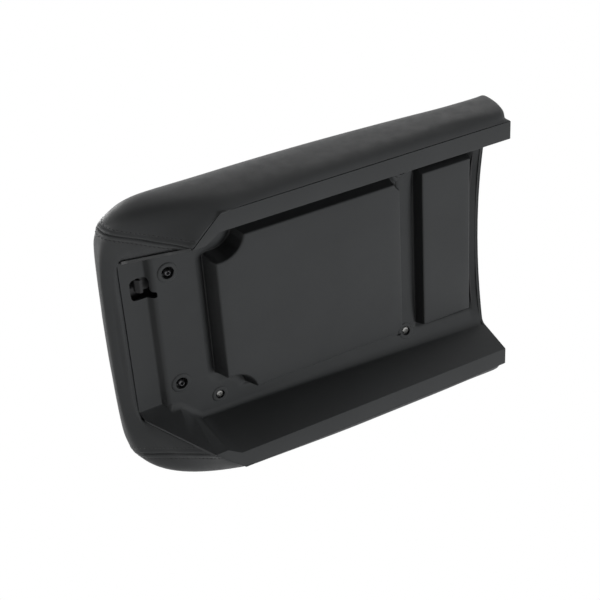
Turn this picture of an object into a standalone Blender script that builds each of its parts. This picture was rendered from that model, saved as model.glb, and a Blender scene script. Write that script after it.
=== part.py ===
"""Padded lid of a centre console, in metres, with +Z up.

The lid lies as it is fitted: padding up, its two long rims down on Z = 0.
The nose with the latch is at -Y and the square-cut hinge end is at +Y.
The origin is the middle of the lid's box, on the plane of the rims.
"""

import math

import bmesh
import bpy
from mathutils import Matrix, Vector

GAP = 0.0003
ROOM_GAP = 0.0018

# Lengths along the lid, one after another from the nose to the hinge end
NOSE_PAD = 0.0148
STRIP_LENGTH = 0.0307
FRONT_LEDGE = 0.0555
LARGE_PANEL_LENGTH = 0.1942
PANEL_SPACING = 0.0263
SMALL_PANEL_LENGTH = 0.0547
REAR_LEDGE = 0.0151
REAR_PAD = 0.0047

# Widths across the lid, from the middle outwards
LARGE_PANEL_HALF = 0.0827
SMALL_PANEL_HALF = 0.0845
LEDGE_WIDTH = 0.0228
WALL_LEAN = 0.0118
RIM_WIDTH = 0.0177
SIDE_PAD = 0.0110

# Liner heights, all of its underside
STRIP_HEIGHT = 0.0650
LEDGE_FRONT_HEIGHT = 0.0580
LEDGE_REAR_HEIGHT = 0.0495
LEDGE_REAR_ARCH_RADIUS = 0.555
LEDGE_EDGE_DROP = 0.0025
LEDGE_EDGE_WIDTH = 0.0090
LARGE_PANEL_HEIGHT = 0.0416
SMALL_PANEL_HEIGHT = 0.0426
PANEL_END_DRAFT = 0.75
PANEL_SIDE_DRAFT = 0.30
LINER_WALL = 0.0025
END_WALL = 0.0025
END_BAND = 0.0060

# Front corners of the liner
RIM_CORNER_BACK = 0.0766
DIAGONAL_INWARD = 0.0265
DIAGONAL_LENGTH = 0.0290
CHEEK_TOP_HALF = 0.0960
CHEEK_TOP_HEIGHT = 0.0595
CHEEK_TOP_BACK = 0.0042
FRONT_CORNER_CUT = 0.0080
LEDGE_CORNER_WIDTH = 0.0208
LEDGE_CORNER_LENGTH = 0.0216
STRIP_HALF = 0.0805
STEP_LEAN = 0.0047

# Notches in the large panel's corners
FRONT_NOTCH_RADIUS = 0.0265
FRONT_NOTCH_OUT = 0.0053
FRONT_NOTCH_BACK = 0.0038
REAR_NOTCH_RADIUS = 0.0150

# Screws that hold the liner to the base shell
LINER_SCREW_OUT = 0.0053
LINER_SCREW_FRONT = -0.0035
LINER_SCREW_REAR = 0.0082
LINER_BOSS_RADIUS = 0.0082
LINER_RECESS_RADIUS = 0.0048
SCREW_SHANK_RADIUS = 0.0020
SCREW_HEAD_RADIUS = 0.0041
SCREW_HEAD_HEIGHT = 0.0022
SCREW_GRIP = 0.0105
PILLAR_RADIUS = 0.0058

# Screws that hold the latch bracket
LATCH_SCREW_HALF = 0.0599
LATCH_SCREW_BACK = 0.0145
LATCH_BOSS_RADIUS = 0.0097
LATCH_RECESS_RADIUS = 0.0060
LATCH_RECESS_DEPTH = 0.0052
BOSS_PROUD = 0.0008
BOSS_FLOOR = 0.0022
NUT_RADIUS = 0.0042
NUT_HEIGHT = 0.0024

# Latch slot through the step at the nose
SLOT_LOW_X = 0.0400
SLOT_HIGH_X = 0.0620
SLOT_AHEAD = 0.0205
SLOT_BEHIND = 0.0022
SLOT_NOTCH_WIDTH = 0.0065

# Latch
BRACKET_THICKNESS = 0.0012
BRACKET_DEPTH = 0.0140
BRACKET_END = 0.0075
EAR_HEIGHT = 0.0072
EAR_LENGTH = 0.0085
CATCH_WIDTH = 0.0130
CATCH_THICKNESS = 0.0024
CATCH_REACH = 0.0170
CATCH_DROP = 0.0062
PIN_RADIUS = 0.0012
PIN_CLEARANCE = 0.00009
CATCH_EYE_RADIUS = 0.0028
SPRING_RADIUS = 0.0026
SPRING_WIRE = 0.00025
SPRING_TURNS = 3.0

# Padding and cover
CROWN_HEIGHT = 0.1000
CROWN_PEAK_AHEAD = 0.0600
CROWN_RADIUS_ALONG = 1.302
CROWN_RADIUS_ACROSS = 0.833
COVER_THICKNESS = 0.0015
FOAM_CROWN_THICKNESS = 0.0140
SHELL_WALL = 0.0030
SHELL_INSET = 0.0010
SHELL_REAR_INSET = 0.0031
SHELL_EDGE_ROUND = 0.0095
SHELL_EDGE_HEIGHT = 0.0100
SEAM_HALF = 0.1100
EDGE_ROUND_ACROSS = 0.0460
EDGE_ROUND_FRONT = 0.0480
EDGE_ROUND_REAR = 0.0120
EDGE_ROUND_POWER = 2.6
NOSE_CORNER_ACROSS = 0.0610
NOSE_CORNER_ALONG = 0.0580
NOSE_CORNER_POWER = 2.2
REAR_CORNER = 0.0100
SHELL_REAR_CORNER = 0.0110
SIDE_BULGE_HEIGHT = 0.0220
NOSE_BULGE_HEIGHT = 0.0730

# Places worked out from the sizes above
PARTS_ALONG = (NOSE_PAD, STRIP_LENGTH, FRONT_LEDGE, LARGE_PANEL_LENGTH, PANEL_SPACING,
               SMALL_PANEL_LENGTH, REAR_LEDGE, REAR_PAD)
LID_LENGTH = sum(PARTS_ALONG)
NOSE_Y = -LID_LENGTH / 2
STRIP_FRONT = NOSE_Y + NOSE_PAD
STEP_Y = STRIP_FRONT + STRIP_LENGTH
LARGE_FRONT = STEP_Y + FRONT_LEDGE
LARGE_REAR = LARGE_FRONT + LARGE_PANEL_LENGTH
SMALL_FRONT = LARGE_REAR + PANEL_SPACING
SMALL_REAR = SMALL_FRONT + SMALL_PANEL_LENGTH
LINER_REAR = SMALL_REAR + REAR_LEDGE
REAR_Y = LINER_REAR + REAR_PAD

LEDGE_HALF = LARGE_PANEL_HALF + LEDGE_WIDTH
FOOT_HALF = LEDGE_HALF + WALL_LEAN
RIM_HALF = FOOT_HALF + RIM_WIDTH
LID_HALF = RIM_HALF + SIDE_PAD

RIM_CORNER_Y = STRIP_FRONT + RIM_CORNER_BACK
DIAGONAL_Y = RIM_CORNER_Y - DIAGONAL_LENGTH
DIAGONAL_HALF = RIM_HALF - DIAGONAL_INWARD
CHEEK_TOP_Y = STRIP_FRONT + CHEEK_TOP_BACK
STEP_FOOT_Y = STEP_Y - STEP_LEAN
LEDGE_CORNER_Y = STEP_Y + 0.0093
LEDGE_DIAGONAL_Y = LEDGE_CORNER_Y + LEDGE_CORNER_LENGTH
LEDGE_NARROW = LEDGE_HALF - LEDGE_CORNER_WIDTH
CROWN_PEAK_Y = -CROWN_PEAK_AHEAD


# Shape functions

def mix(low, high, share):
    """Value at a share of the way from low to high."""
    return low + (high - low) * share


def ledge_height(x, y):
    """Underside of the liner's ledge: flat at the nose, arched at the hinge end."""
    share = min(max((y - LARGE_FRONT) / (LINER_REAR - LARGE_FRONT), 0.0), 1.0)
    middle = mix(LEDGE_FRONT_HEIGHT, LEDGE_REAR_HEIGHT, share)
    return middle - share * x * x / (2 * LEDGE_REAR_ARCH_RADIUS)


def crown_height(x, y):
    """Top of the cover over its middle part."""
    fall_along = (y - CROWN_PEAK_Y) ** 2 / (2 * CROWN_RADIUS_ALONG)
    return CROWN_HEIGHT - fall_along - x * x / (2 * CROWN_RADIUS_ACROSS)


def end_arch_height(x):
    """Top of the liner's end wall at the hinge end."""
    return ledge_height(x, LINER_REAR) + END_BAND


# Mesh and object helpers

def clear_scene():
    for item in list(bpy.data.objects):
        bpy.data.objects.remove(item, do_unlink=True)


def make_material(name, colour, roughness, metallic=0.0):
    material = bpy.data.materials.new(name)
    material.use_nodes = True
    shader = material.node_tree.nodes["Principled BSDF"]
    shader.inputs["Base Color"].default_value = (*colour, 1.0)
    shader.inputs["Roughness"].default_value = roughness
    shader.inputs["Metallic"].default_value = metallic
    return material


def add_object(name, bm, material=None, smooth_angle=None):
    """Turns a bmesh into a named object."""
    mesh = bpy.data.meshes.new(name)
    bm.normal_update()
    bm.to_mesh(mesh)
    bm.free()
    if smooth_angle is not None:
        mesh.shade_smooth()
        mesh.set_sharp_from_angle(angle=math.radians(smooth_angle))
    item = bpy.data.objects.new(name, mesh)
    bpy.context.scene.collection.objects.link(item)
    if material is not None:
        mesh.materials.append(material)
    return item


def hide_tool(item):
    item.hide_render = True
    item.display_type = "WIRE"


def combine(item, tool, operation):
    """Adds a live Boolean modifier."""
    modifier = item.modifiers.new(tool.name, "BOOLEAN")
    modifier.operation = operation
    modifier.solver = "EXACT"
    modifier.object = tool


def close_outwards(bm):
    bmesh.ops.recalc_face_normals(bm, faces=bm.faces[:])


def add_prism(bm, low_loop, high_loop):
    """Closed solid between two loops of points that match one to one."""
    low = [bm.verts.new(point) for point in low_loop]
    high = [bm.verts.new(point) for point in high_loop]
    count = len(low)
    for index in range(count):
        after = (index + 1) % count
        bm.faces.new((low[index], low[after], high[after], high[index]))
    bm.faces.new(list(reversed(low)))
    bm.faces.new(high)


def add_box(bm, low, high):
    centre = (Vector(low) + Vector(high)) / 2
    size = Vector(high) - Vector(low)
    matrix = Matrix.Translation(centre) @ Matrix.Diagonal((*size, 1.0))
    bmesh.ops.create_cube(bm, size=1.0, matrix=matrix)


def add_disc_solid(bm, centre, radius, low, high, sides):
    """Upright round post or cutter."""
    middle = Vector((centre[0], centre[1], (low + high) / 2))
    bmesh.ops.create_cone(bm, cap_ends=True, segments=sides, radius1=radius, radius2=radius,
                          depth=high - low, matrix=Matrix.Translation(middle))


def add_turned(bm, place, profile, sides):
    """Adds a solid turned about an upright axis from points (radius, height) with both ends on it."""
    middle = Vector((place[0], place[1], 0.0))
    points = [bm.verts.new(middle + Vector((radius, 0.0, height))) for radius, height in profile]
    edges = [bm.edges.new(pair) for pair in zip(points, points[1:])]
    bmesh.ops.spin(bm, geom=points + edges, cent=middle, axis=(0, 0, 1),
                   angle=math.tau, steps=sides, use_merge=True)
    bmesh.ops.remove_doubles(bm, verts=bm.verts[:], dist=1e-6)


def turned(profile, sides):
    """Solid turned about Z."""
    bm = bmesh.new()
    add_turned(bm, (0.0, 0.0), profile, sides)
    close_outwards(bm)
    return bm


# Padding: every layer is a skin of the same form, set in by its own amount

class Skin:
    """Sizes of one layer's surface."""

    def __init__(self, inset, drop, hem, rear_inset=None, rear_corner=REAR_CORNER):
        self.half = LID_HALF - inset
        self.front = NOSE_Y + inset
        self.rear = REAR_Y - (inset if rear_inset is None else rear_inset)
        self.drop = drop
        self.hem = hem
        self.rear_corner = rear_corner
        self.corner_across = NOSE_CORNER_ACROSS - inset
        self.corner_along = NOSE_CORNER_ALONG - inset


def make_skins():
    """Surfaces of the cover and the foam; each hem is (outwards, upwards) from the liner's edge."""
    def hems(thickness):
        return {"side": (2 * GAP, GAP + thickness), "cheek": (LINER_WALL + 4 * GAP, 2 * GAP + thickness),
                "nose": (3 * GAP, GAP + thickness), "rear": (-0.0005, 4 * GAP + thickness)}

    foam_inset = COVER_THICKNESS + 2 * GAP
    return {
        "cover_outer": Skin(0.0, 0.0, hems(0.0)),
        "cover_inner": Skin(COVER_THICKNESS, COVER_THICKNESS, hems(COVER_THICKNESS),
                            COVER_THICKNESS, REAR_CORNER - COVER_THICKNESS),
        "foam_outer": Skin(foam_inset, foam_inset, hems(foam_inset + 2 * GAP), foam_inset,
                           REAR_CORNER - foam_inset),
    }


def cheek_edge(share):
    """Liner edge from the end of the rim's diagonal up to the strip's corner."""
    return Vector((mix(DIAGONAL_HALF, CHEEK_TOP_HALF, share),
                   mix(DIAGONAL_Y, CHEEK_TOP_Y, share), CHEEK_TOP_HEIGHT * share))


def stations():
    """Right half of the way round the lid, from the middle of the hinge end to the nose.

    Each is (region, place, hem point on the liner's edge, outward direction, bulge height).
    """
    arch_corner = 0.126
    rows = []
    for share in (0.0, 0.35, 0.70, 1.0):
        x = arch_corner * share
        rows.append(("rear", share, Vector((x, LINER_REAR, end_arch_height(x))), (0, 1),
                     mix(0.064, 0.050, share ** 2)))
    corner_base = end_arch_height(arch_corner)
    rows.append(("rear corner", 30, Vector((RIM_HALF - 0.0012, LINER_REAR, corner_base * 0.78)),
                 (1, 0), 0.045))
    rows.append(("rear corner", 60, Vector((RIM_HALF, LINER_REAR, corner_base * 0.36)), (1, 0), 0.039))
    rows.append(("rear corner", 90, Vector((RIM_HALF, LINER_REAR, 0.0)), (1, 0), 0.033))
    side_steps = 7
    for step in range(1, side_steps + 1):
        share = step / side_steps
        y = mix(LINER_REAR, RIM_CORNER_Y, share)
        height = SIDE_BULGE_HEIGHT + (0.004 if step == 1 else 0.0)
        rows.append(("side", share, Vector((RIM_HALF, y, 0.0)), (1, 0), height))
    across = Vector((DIAGONAL_LENGTH, -DIAGONAL_INWARD)).normalized()
    middle = Vector((mix(RIM_HALF, DIAGONAL_HALF, 0.5), mix(RIM_CORNER_Y, DIAGONAL_Y, 0.5), 0.0))
    rows.append(("diagonal", 0.5, middle, tuple(across), SIDE_BULGE_HEIGHT + 0.003))
    for angle, share in ((0, 0.0), (22, 0.22), (45, 0.50), (67, 0.78)):
        height = mix(SIDE_BULGE_HEIGHT + 0.006, NOSE_BULGE_HEIGHT - 0.003, share)
        rows.append(("nose corner", angle, cheek_edge(share), tuple(across), height))
    corner_half = CHEEK_TOP_HALF - FRONT_CORNER_CUT
    rows.append(("nose corner", 90, Vector((corner_half, STRIP_FRONT, CHEEK_TOP_HEIGHT + 0.003)),
                 (0, -1), NOSE_BULGE_HEIGHT - 0.002))
    for share in (0.66, 0.33, 0.0):
        rows.append(("nose", share, Vector((corner_half * share, STRIP_FRONT, STRIP_HEIGHT)),
                     (0, -1), NOSE_BULGE_HEIGHT))
    return rows


def outline_point(skin, region, place, inset_across, inset_front, inset_rear):
    """Point of a skin's plan outline, pulled in by three insets."""
    half = max(skin.half - inset_across, 0.0)
    front = skin.front + inset_front
    rear = skin.rear - inset_rear
    radius = min(skin.rear_corner, half)
    across = min(max(skin.corner_across - inset_across, 0.0), half)
    along = max(skin.corner_along - inset_front, 0.0)
    if region == "rear":
        return Vector(((half - radius) * place, rear))
    if region == "rear corner":
        angle = math.radians(place)
        return Vector((half - radius + radius * math.sin(angle), rear - radius + radius * math.cos(angle)))
    side_rear = rear - radius
    side_front = front + along
    if region == "side":
        return Vector((half, mix(side_rear, side_front, place * 0.86)))
    if region == "diagonal":
        return Vector((half, mix(side_rear, side_front, 0.93)))
    if region == "nose corner":
        angle = math.radians(place)
        power = 2 / NOSE_CORNER_POWER
        return Vector((half - across + across * max(math.cos(angle), 0.0) ** power,
                       side_front - along * math.sin(angle) ** power))
    return Vector(((half - across) * place, front))


def hem_point(skin, region, edge, outward):
    """Lower edge of a skin, set off from the liner's edge."""
    kind = {"rear": "rear", "rear corner": "rear", "side": "side", "diagonal": "side",
            "nose corner": "cheek", "nose": "nose"}[region]
    if region == "nose corner" and outward == (0, -1):
        kind = "nose"
    out, up = skin.hem[kind]
    point = edge.copy()
    if region == "rear":
        point.y = min(edge.y + out, skin.rear)
        point.z += up
        return point
    if region == "rear corner":
        out, up = skin.hem["side"]
        point.x += out
        point.y = min(edge.y - 0.0005, skin.rear)
        point.z = max(point.z, up)
        return point
    point.x += outward[0] * out
    point.y = min(edge.y + outward[1] * out, skin.rear - 0.002)
    point.z += up
    return point


LOWER_SHARES = (0.0, 0.5, 0.8)
UPPER_SHARES = (0.0, 0.45, 0.75, 0.93, 1.0)
SPINE_SHARES = (0.45, 1.0)


def skin_column(skin, station):
    """Points of a skin from its hem over the bulge to the lid's middle line."""
    region, place, edge, outward, bulge = station
    hem = hem_point(skin, region, edge, outward)
    equator = outline_point(skin, region, place, 0, 0, 0)
    top_here = crown_height(equator.x, equator.y) - skin.drop
    height = min(max(bulge, hem.z + 0.002), top_here - 0.003)
    power = 2 / EDGE_ROUND_POWER
    column = []
    for share in LOWER_SHARES:
        angle = share * math.pi / 2
        plan = Vector((hem.x, hem.y)).lerp(equator, math.sin(angle) ** power)
        column.append(Vector((*plan, height - (height - hem.z) * math.cos(angle) ** power)))
    for share in UPPER_SHARES:
        pull = 1 - (1 - share ** EDGE_ROUND_POWER) ** (1 / EDGE_ROUND_POWER)
        plan = outline_point(skin, region, place, EDGE_ROUND_ACROSS * pull,
                             EDGE_ROUND_FRONT * pull, EDGE_ROUND_REAR * pull)
        top = crown_height(*plan) - skin.drop
        column.append(Vector((*plan, mix(height, top, share))))
    for share in SPINE_SHARES:
        plan = outline_point(skin, region, place, mix(EDGE_ROUND_ACROSS, skin.half, share),
                             mix(EDGE_ROUND_FRONT, 0.130, share), mix(EDGE_ROUND_REAR, 0.110, share))
        column.append(Vector((*plan, crown_height(*plan) - skin.drop)))
    return column


def add_skin(bm, skin):
    """Adds one skin's faces and returns its hem as a loop of vertices."""
    right = [skin_column(skin, station) for station in stations()]
    left = [[Vector((-point.x, point.y, point.z)) for point in column] for column in right[1:-1]]
    columns = right + left[::-1]
    verts = [[bm.verts.new(point) for point in column] for column in columns]
    count = len(verts)
    for index in range(count):
        here, after = verts[index], verts[(index + 1) % count]
        for level in range(len(here) - 1):
            corners = (here[level], after[level], after[level + 1], here[level + 1])
            if index < len(right) - 1:
                halves = (0, 1, 2), (0, 2, 3)
            else:
                halves = (0, 1, 3), (1, 2, 3)
            for half in halves:
                bm.faces.new([corners[corner] for corner in half])
    return [column[0] for column in verts]


def layer(name, outer, inner, material):
    """Closed solid between two skins."""
    bm = bmesh.new()
    outer_hem = add_skin(bm, outer)
    inner_hem = add_skin(bm, inner)
    count = len(outer_hem)
    for index in range(count):
        after = (index + 1) % count
        bm.faces.new((outer_hem[index], outer_hem[after], inner_hem[after]))
        bm.faces.new((outer_hem[index], inner_hem[after], inner_hem[index]))
    bmesh.ops.remove_doubles(bm, verts=bm.verts[:], dist=2e-5)
    bmesh.ops.dissolve_degenerate(bm, edges=bm.edges[:], dist=1e-6)
    close_outwards(bm)
    return add_object(name, bm, material, 40)


def cushion(name, skin, material):
    """Solid under a skin, closed well below the lid."""
    bm = bmesh.new()
    hem = add_skin(bm, skin)
    inner = []
    base = []
    for vert in hem:
        share = 1 - 0.006 / max(vert.co.xy.length, 0.006)
        inner.append(bm.verts.new((vert.co.x * share, vert.co.y * share, vert.co.z)))
        base.append(bm.verts.new((vert.co.x * share, vert.co.y * share, -0.010)))
    count = len(hem)
    for index in range(count):
        after = (index + 1) % count
        bm.faces.new((hem[index], inner[index], inner[after], hem[after]))
        bm.faces.new((inner[index], base[index], base[after], inner[after]))
    bm.faces.new(base)
    bmesh.ops.remove_doubles(bm, verts=bm.verts[:], dist=2e-5)
    bmesh.ops.dissolve_degenerate(bm, edges=bm.edges[:], dist=1e-6)
    close_outwards(bm)
    return add_object(name, bm, material, 40)


def shell_outline(inset):
    """Right half of the base shell's plan, from the middle of the hinge end to the nose."""
    rear = REAR_Y - REAR_PAD - SHELL_REAR_INSET
    half = RIM_HALF - SHELL_INSET
    front = STRIP_FRONT + SHELL_INSET
    corner = SHELL_REAR_CORNER
    points = [(share * (half - corner), rear) for share in (0.0, 0.33, 0.66, 1.0)]
    points += [(half, mix(rear - corner, RIM_CORNER_Y, share)) for share in (0.0, 0.2, 0.4, 0.6, 0.8, 1.0)]
    start = (DIAGONAL_HALF - SHELL_INSET, DIAGONAL_Y)
    end = (CHEEK_TOP_HALF - SHELL_INSET, CHEEK_TOP_Y)
    points += [start, (mix(start[0], end[0], 0.5), mix(start[1], end[1], 0.5)), end]
    nose = CHEEK_TOP_HALF - FRONT_CORNER_CUT - SHELL_INSET
    points += [(nose * share, front) for share in (1.0, 0.66, 0.33, 0.0)]
    right = [Vector(point) for point in points]
    loop = right + [Vector((-point.x, point.y)) for point in right[-2:0:-1]]
    count = len(loop)
    moved = []
    for index, point in enumerate(loop):
        before = (point - loop[index - 1]).normalized()
        after = (loop[(index + 1) % count] - point).normalized()
        normal_before = Vector((before.y, -before.x))
        normal_after = Vector((after.y, -after.x))
        both = (normal_before + normal_after).normalized()
        moved.append(point + both * (inset / both.dot(normal_after)))
    return moved


def dome(name, inset, drop, low):
    """Closed dome over the liner's outline with rounded-off upper edges."""
    bm = bmesh.new()
    front = STRIP_FRONT + 0.075
    rear = LINER_REAR - 0.100
    rings = []
    for pull, fall in ((0.0, None), (0.0, SHELL_EDGE_HEIGHT), (0.37, 0.30 * SHELL_EDGE_HEIGHT), (1.0, 0.0)):
        ring = []
        for point in shell_outline(inset + pull * SHELL_EDGE_ROUND):
            height = low if fall is None else crown_height(point.x, point.y) - drop - fall
            ring.append(Vector((point.x, point.y, height)))
        rings.append(ring)
    for share in (0.5, 1.0):
        ring = []
        for point in rings[3]:
            spine = Vector((0.0, min(max(point.y, front), rear)))
            plan = point.xy.lerp(spine, share)
            ring.append(Vector((plan.x, plan.y, crown_height(plan.x, plan.y) - drop)))
        rings.append(ring)
    verts = [[bm.verts.new(point) for point in ring] for ring in rings]
    count = len(rings[0])
    for lower, upper in zip(verts, verts[1:]):
        for index in range(count):
            after = (index + 1) % count
            bm.faces.new((lower[index], lower[after], upper[after]))
            bm.faces.new((lower[index], upper[after], upper[index]))
    bm.faces.new(verts[0])
    bmesh.ops.remove_doubles(bm, verts=bm.verts[:], dist=2e-5)
    bmesh.ops.dissolve_degenerate(bm, edges=bm.edges[:], dist=1e-6)
    close_outwards(bm)
    return add_object(name, bm)


def make_cover(skins, material):
    """The cover's middle piece and two side pieces, cut apart along the two seams."""
    reach = 2 * max(LID_LENGTH, LID_HALF)
    spans = {"cover_centre": (-SEAM_HALF + GAP / 2, SEAM_HALF - GAP / 2),
             "cover_side_left": (-reach, -SEAM_HALF - GAP / 2),
             "cover_side_right": (SEAM_HALF + GAP / 2, reach)}
    for name, (low, high) in spans.items():
        piece = layer(name, skins["cover_outer"], skins["cover_inner"], material)
        bm = bmesh.new()
        add_box(bm, (low, -reach, -reach), (high, reach, reach))
        slab = add_object(name + "_slab", bm)
        hide_tool(slab)
        combine(piece, slab, "INTERSECT")


# Liner

def liner_rows():
    """Cross-sections of the liner's right half, from the strip's front edge to the hinge end."""
    def row(y, floor_half, floor_edge_height, foot, outer, floor=None):
        middle = ledge_height if floor is None else floor
        inner = floor_half - LEDGE_EDGE_WIDTH
        shares = (0.0, 0.36, 0.72, 1.0)
        points = [(inner * share, middle(inner * share, y)) for share in shares]
        return y, points + [(floor_half, floor_edge_height), foot, outer]

    def strip(x, y):
        return STRIP_HEIGHT

    def on_cheek(y):
        share = (y - DIAGONAL_Y) / (CHEEK_TOP_Y - DIAGONAL_Y)
        point = cheek_edge(share)
        return point.x, point.z

    def edge_drop(x, y):
        return ledge_height(x, y) - LEDGE_EDGE_DROP

    corner = (CHEEK_TOP_HALF - FRONT_CORNER_CUT, CHEEK_TOP_HEIGHT + 0.003)
    rows = [row(STRIP_FRONT, STRIP_HALF, STRIP_HEIGHT - 0.0004, corner, corner, strip),
            row(CHEEK_TOP_Y, STRIP_HALF, STRIP_HEIGHT - 0.0004, on_cheek(CHEEK_TOP_Y),
                on_cheek(CHEEK_TOP_Y), strip),
            row(STEP_FOOT_Y, STRIP_HALF, STRIP_HEIGHT - 0.0004, on_cheek(STEP_FOOT_Y),
                on_cheek(STEP_FOOT_Y), strip)]
    for y in (STEP_Y, LEDGE_CORNER_Y, DIAGONAL_Y):
        half = LEDGE_NARROW
        if y > LEDGE_CORNER_Y:
            half += (y - LEDGE_CORNER_Y) * LEDGE_CORNER_WIDTH / LEDGE_CORNER_LENGTH
        rows.append(row(y, half, edge_drop(half, y), on_cheek(y), on_cheek(y)))
    slope = DIAGONAL_INWARD / DIAGONAL_LENGTH
    outer = RIM_HALF - (RIM_CORNER_Y - LEDGE_DIAGONAL_Y) * slope
    rows.append(row(LEDGE_DIAGONAL_Y, LEDGE_HALF, edge_drop(LEDGE_HALF, LEDGE_DIAGONAL_Y),
                    (DIAGONAL_HALF, 0.0), (outer, 0.0)))
    side_steps = 7
    start = RIM_CORNER_Y
    for step in range(side_steps + 1):
        y = mix(start, LINER_REAR, step / side_steps)
        rows.append(row(y, LEDGE_HALF, edge_drop(LEDGE_HALF, y), (FOOT_HALF, 0.0), (RIM_HALF, 0.0)))
    return rows


def make_liner_sheet():
    """Underside of the liner as an open sheet, whose wall grows upwards and outwards."""
    bm = bmesh.new()
    grid = []
    for y, half_row in liner_rows():
        full = [(-x, z) for x, z in half_row[:0:-1]] + half_row
        grid.append([bm.verts.new((x, y, z)) for x, z in full])
    for near, far in zip(grid, grid[1:]):
        for index in range(len(near) - 1):
            bm.faces.new((near[index], near[index + 1], far[index + 1], far[index]))
    bmesh.ops.remove_doubles(bm, verts=bm.verts[:], dist=1e-5)
    return bm


def make_liner_room():
    """Cutter for all the space under the liner's upper side, with a gap above it."""
    bm = make_liner_sheet()
    bmesh.ops.recalc_face_normals(bm, faces=bm.faces[:])
    bm.normal_update()
    if sum(face.normal.z for face in bm.faces) < 0:
        bmesh.ops.reverse_faces(bm, faces=bm.faces[:])
        bm.normal_update()
    lifts = {vert: vert.normal * (LINER_WALL + ROOM_GAP) * vert.calc_shell_factor() for vert in bm.verts}
    for vert, lift in lifts.items():
        vert.co += lift
        vert.co.x *= 1 + GAP / RIM_HALF
        vert.co.y *= 1 + GAP / LINER_REAR
    border = [edge for edge in bm.edges if edge.is_boundary]
    made = bmesh.ops.extrude_edge_only(bm, edges=border)["geom"]
    low = [item for item in made if isinstance(item, bmesh.types.BMVert)]
    for vert in low:
        vert.co.z = -0.020
    rim = [item for item in made if isinstance(item, bmesh.types.BMEdge) and item.is_boundary]
    bmesh.ops.contextual_create(bm, geom=rim)
    close_outwards(bm)
    room = add_object("liner_room", bm)
    hide_tool(room)
    return room


def end_arch_points(half, lift):
    """Outline of the end wall's top from the middle outwards, down to the rim's edge."""
    arch_corner = 0.126
    corner_base = end_arch_height(arch_corner)
    shares = [index / 8 for index in range(9)]
    points = [(arch_corner * share, end_arch_height(arch_corner * share) + lift) for share in shares]
    return points + [(half - 0.0012, corner_base * 0.78 + lift), (half, corner_base * 0.36 + lift)]


def make_end_room():
    """Cutter that keeps the foam clear of the end wall."""
    half = RIM_HALF + GAP
    outer = end_arch_points(half, 3 * GAP) + [(half, -0.020)]
    loop = [(-x, z) for x, z in outer[:0:-1]] + outer
    near = LINER_REAR - 2 * GAP - END_WALL - 0.001
    far = LINER_REAR + 2 * GAP
    bm = bmesh.new()
    add_prism(bm, [Vector((x, near, z)) for x, z in loop], [Vector((x, far, z)) for x, z in loop])
    close_outwards(bm)
    room = add_object("end_room", bm)
    hide_tool(room)
    return room


def arc_points(centre, radius, start, end, steps):
    return [(centre[0] + radius * math.cos(math.radians(mix(start, end, index / steps))),
             centre[1] + radius * math.sin(math.radians(mix(start, end, index / steps))))
            for index in range(steps + 1)]


def large_panel_loop(grow, height, inset=0.0, steps=6):
    """Outline of the large panel with its notched corners, spread by its walls' draft."""
    half = LARGE_PANEL_HALF + grow * PANEL_SIDE_DRAFT - inset
    front = LARGE_FRONT - grow * PANEL_END_DRAFT + inset
    rear = LARGE_REAR + grow * PANEL_SIDE_DRAFT - inset
    front_centre = (LARGE_PANEL_HALF + FRONT_NOTCH_OUT, LARGE_FRONT + FRONT_NOTCH_BACK)
    rear_centre = (LARGE_PANEL_HALF + LINER_SCREW_OUT, LARGE_REAR + LINER_SCREW_REAR)
    front_radius = FRONT_NOTCH_RADIUS - grow * PANEL_SIDE_DRAFT + inset
    rear_radius = REAR_NOTCH_RADIUS - grow * PANEL_SIDE_DRAFT + inset

    def angle_across(centre, radius):
        return math.degrees(math.acos((half - centre[0]) / radius))

    def angle_along(centre, radius, y):
        return math.degrees(math.asin((y - centre[1]) / radius))

    loop = arc_points(front_centre, front_radius, 180 - angle_along(front_centre, front_radius, front),
                      angle_across(front_centre, front_radius), steps)
    loop += arc_points(rear_centre, rear_radius, -angle_across(rear_centre, rear_radius),
                       -180 - angle_along(rear_centre, rear_radius, rear), steps)
    loop += [(-x, y) for x, y in reversed(loop)]
    return [Vector((x, y, height)) for x, y in loop]


def small_panel_loop(grow, height, inset=0.0):
    half = SMALL_PANEL_HALF + grow * PANEL_SIDE_DRAFT - inset
    front = SMALL_FRONT - grow * PANEL_END_DRAFT + inset
    rear = SMALL_REAR + grow * PANEL_SIDE_DRAFT - inset
    corners = ((half, front), (half, rear), (-half, rear), (-half, front))
    return [Vector((x, y, height)) for x, y in corners]


def panel_tools(name, loop_of, face_height):
    """The panel's cup, trimmed inside the ledge's thickness, and the cutter that opens it."""
    tall = 0.0186
    low = face_height + LINER_WALL
    tools = []
    for suffix, start, inset in (("cup", face_height, 0.0), ("hollow", low, LINER_WALL),
                                 ("pit", low, LINER_WALL / 2)):
        bm = bmesh.new()
        grow = start - face_height
        add_prism(bm, loop_of(grow, start, inset), loop_of(grow + tall, start + tall, inset))
        close_outwards(bm)
        tool = add_object(f"{name}_{suffix}", bm)
        hide_tool(tool)
        tools.append(tool)
    cup, hollow, pit = tools
    combine(cup, hollow, "DIFFERENCE")
    return cup, pit


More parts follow.
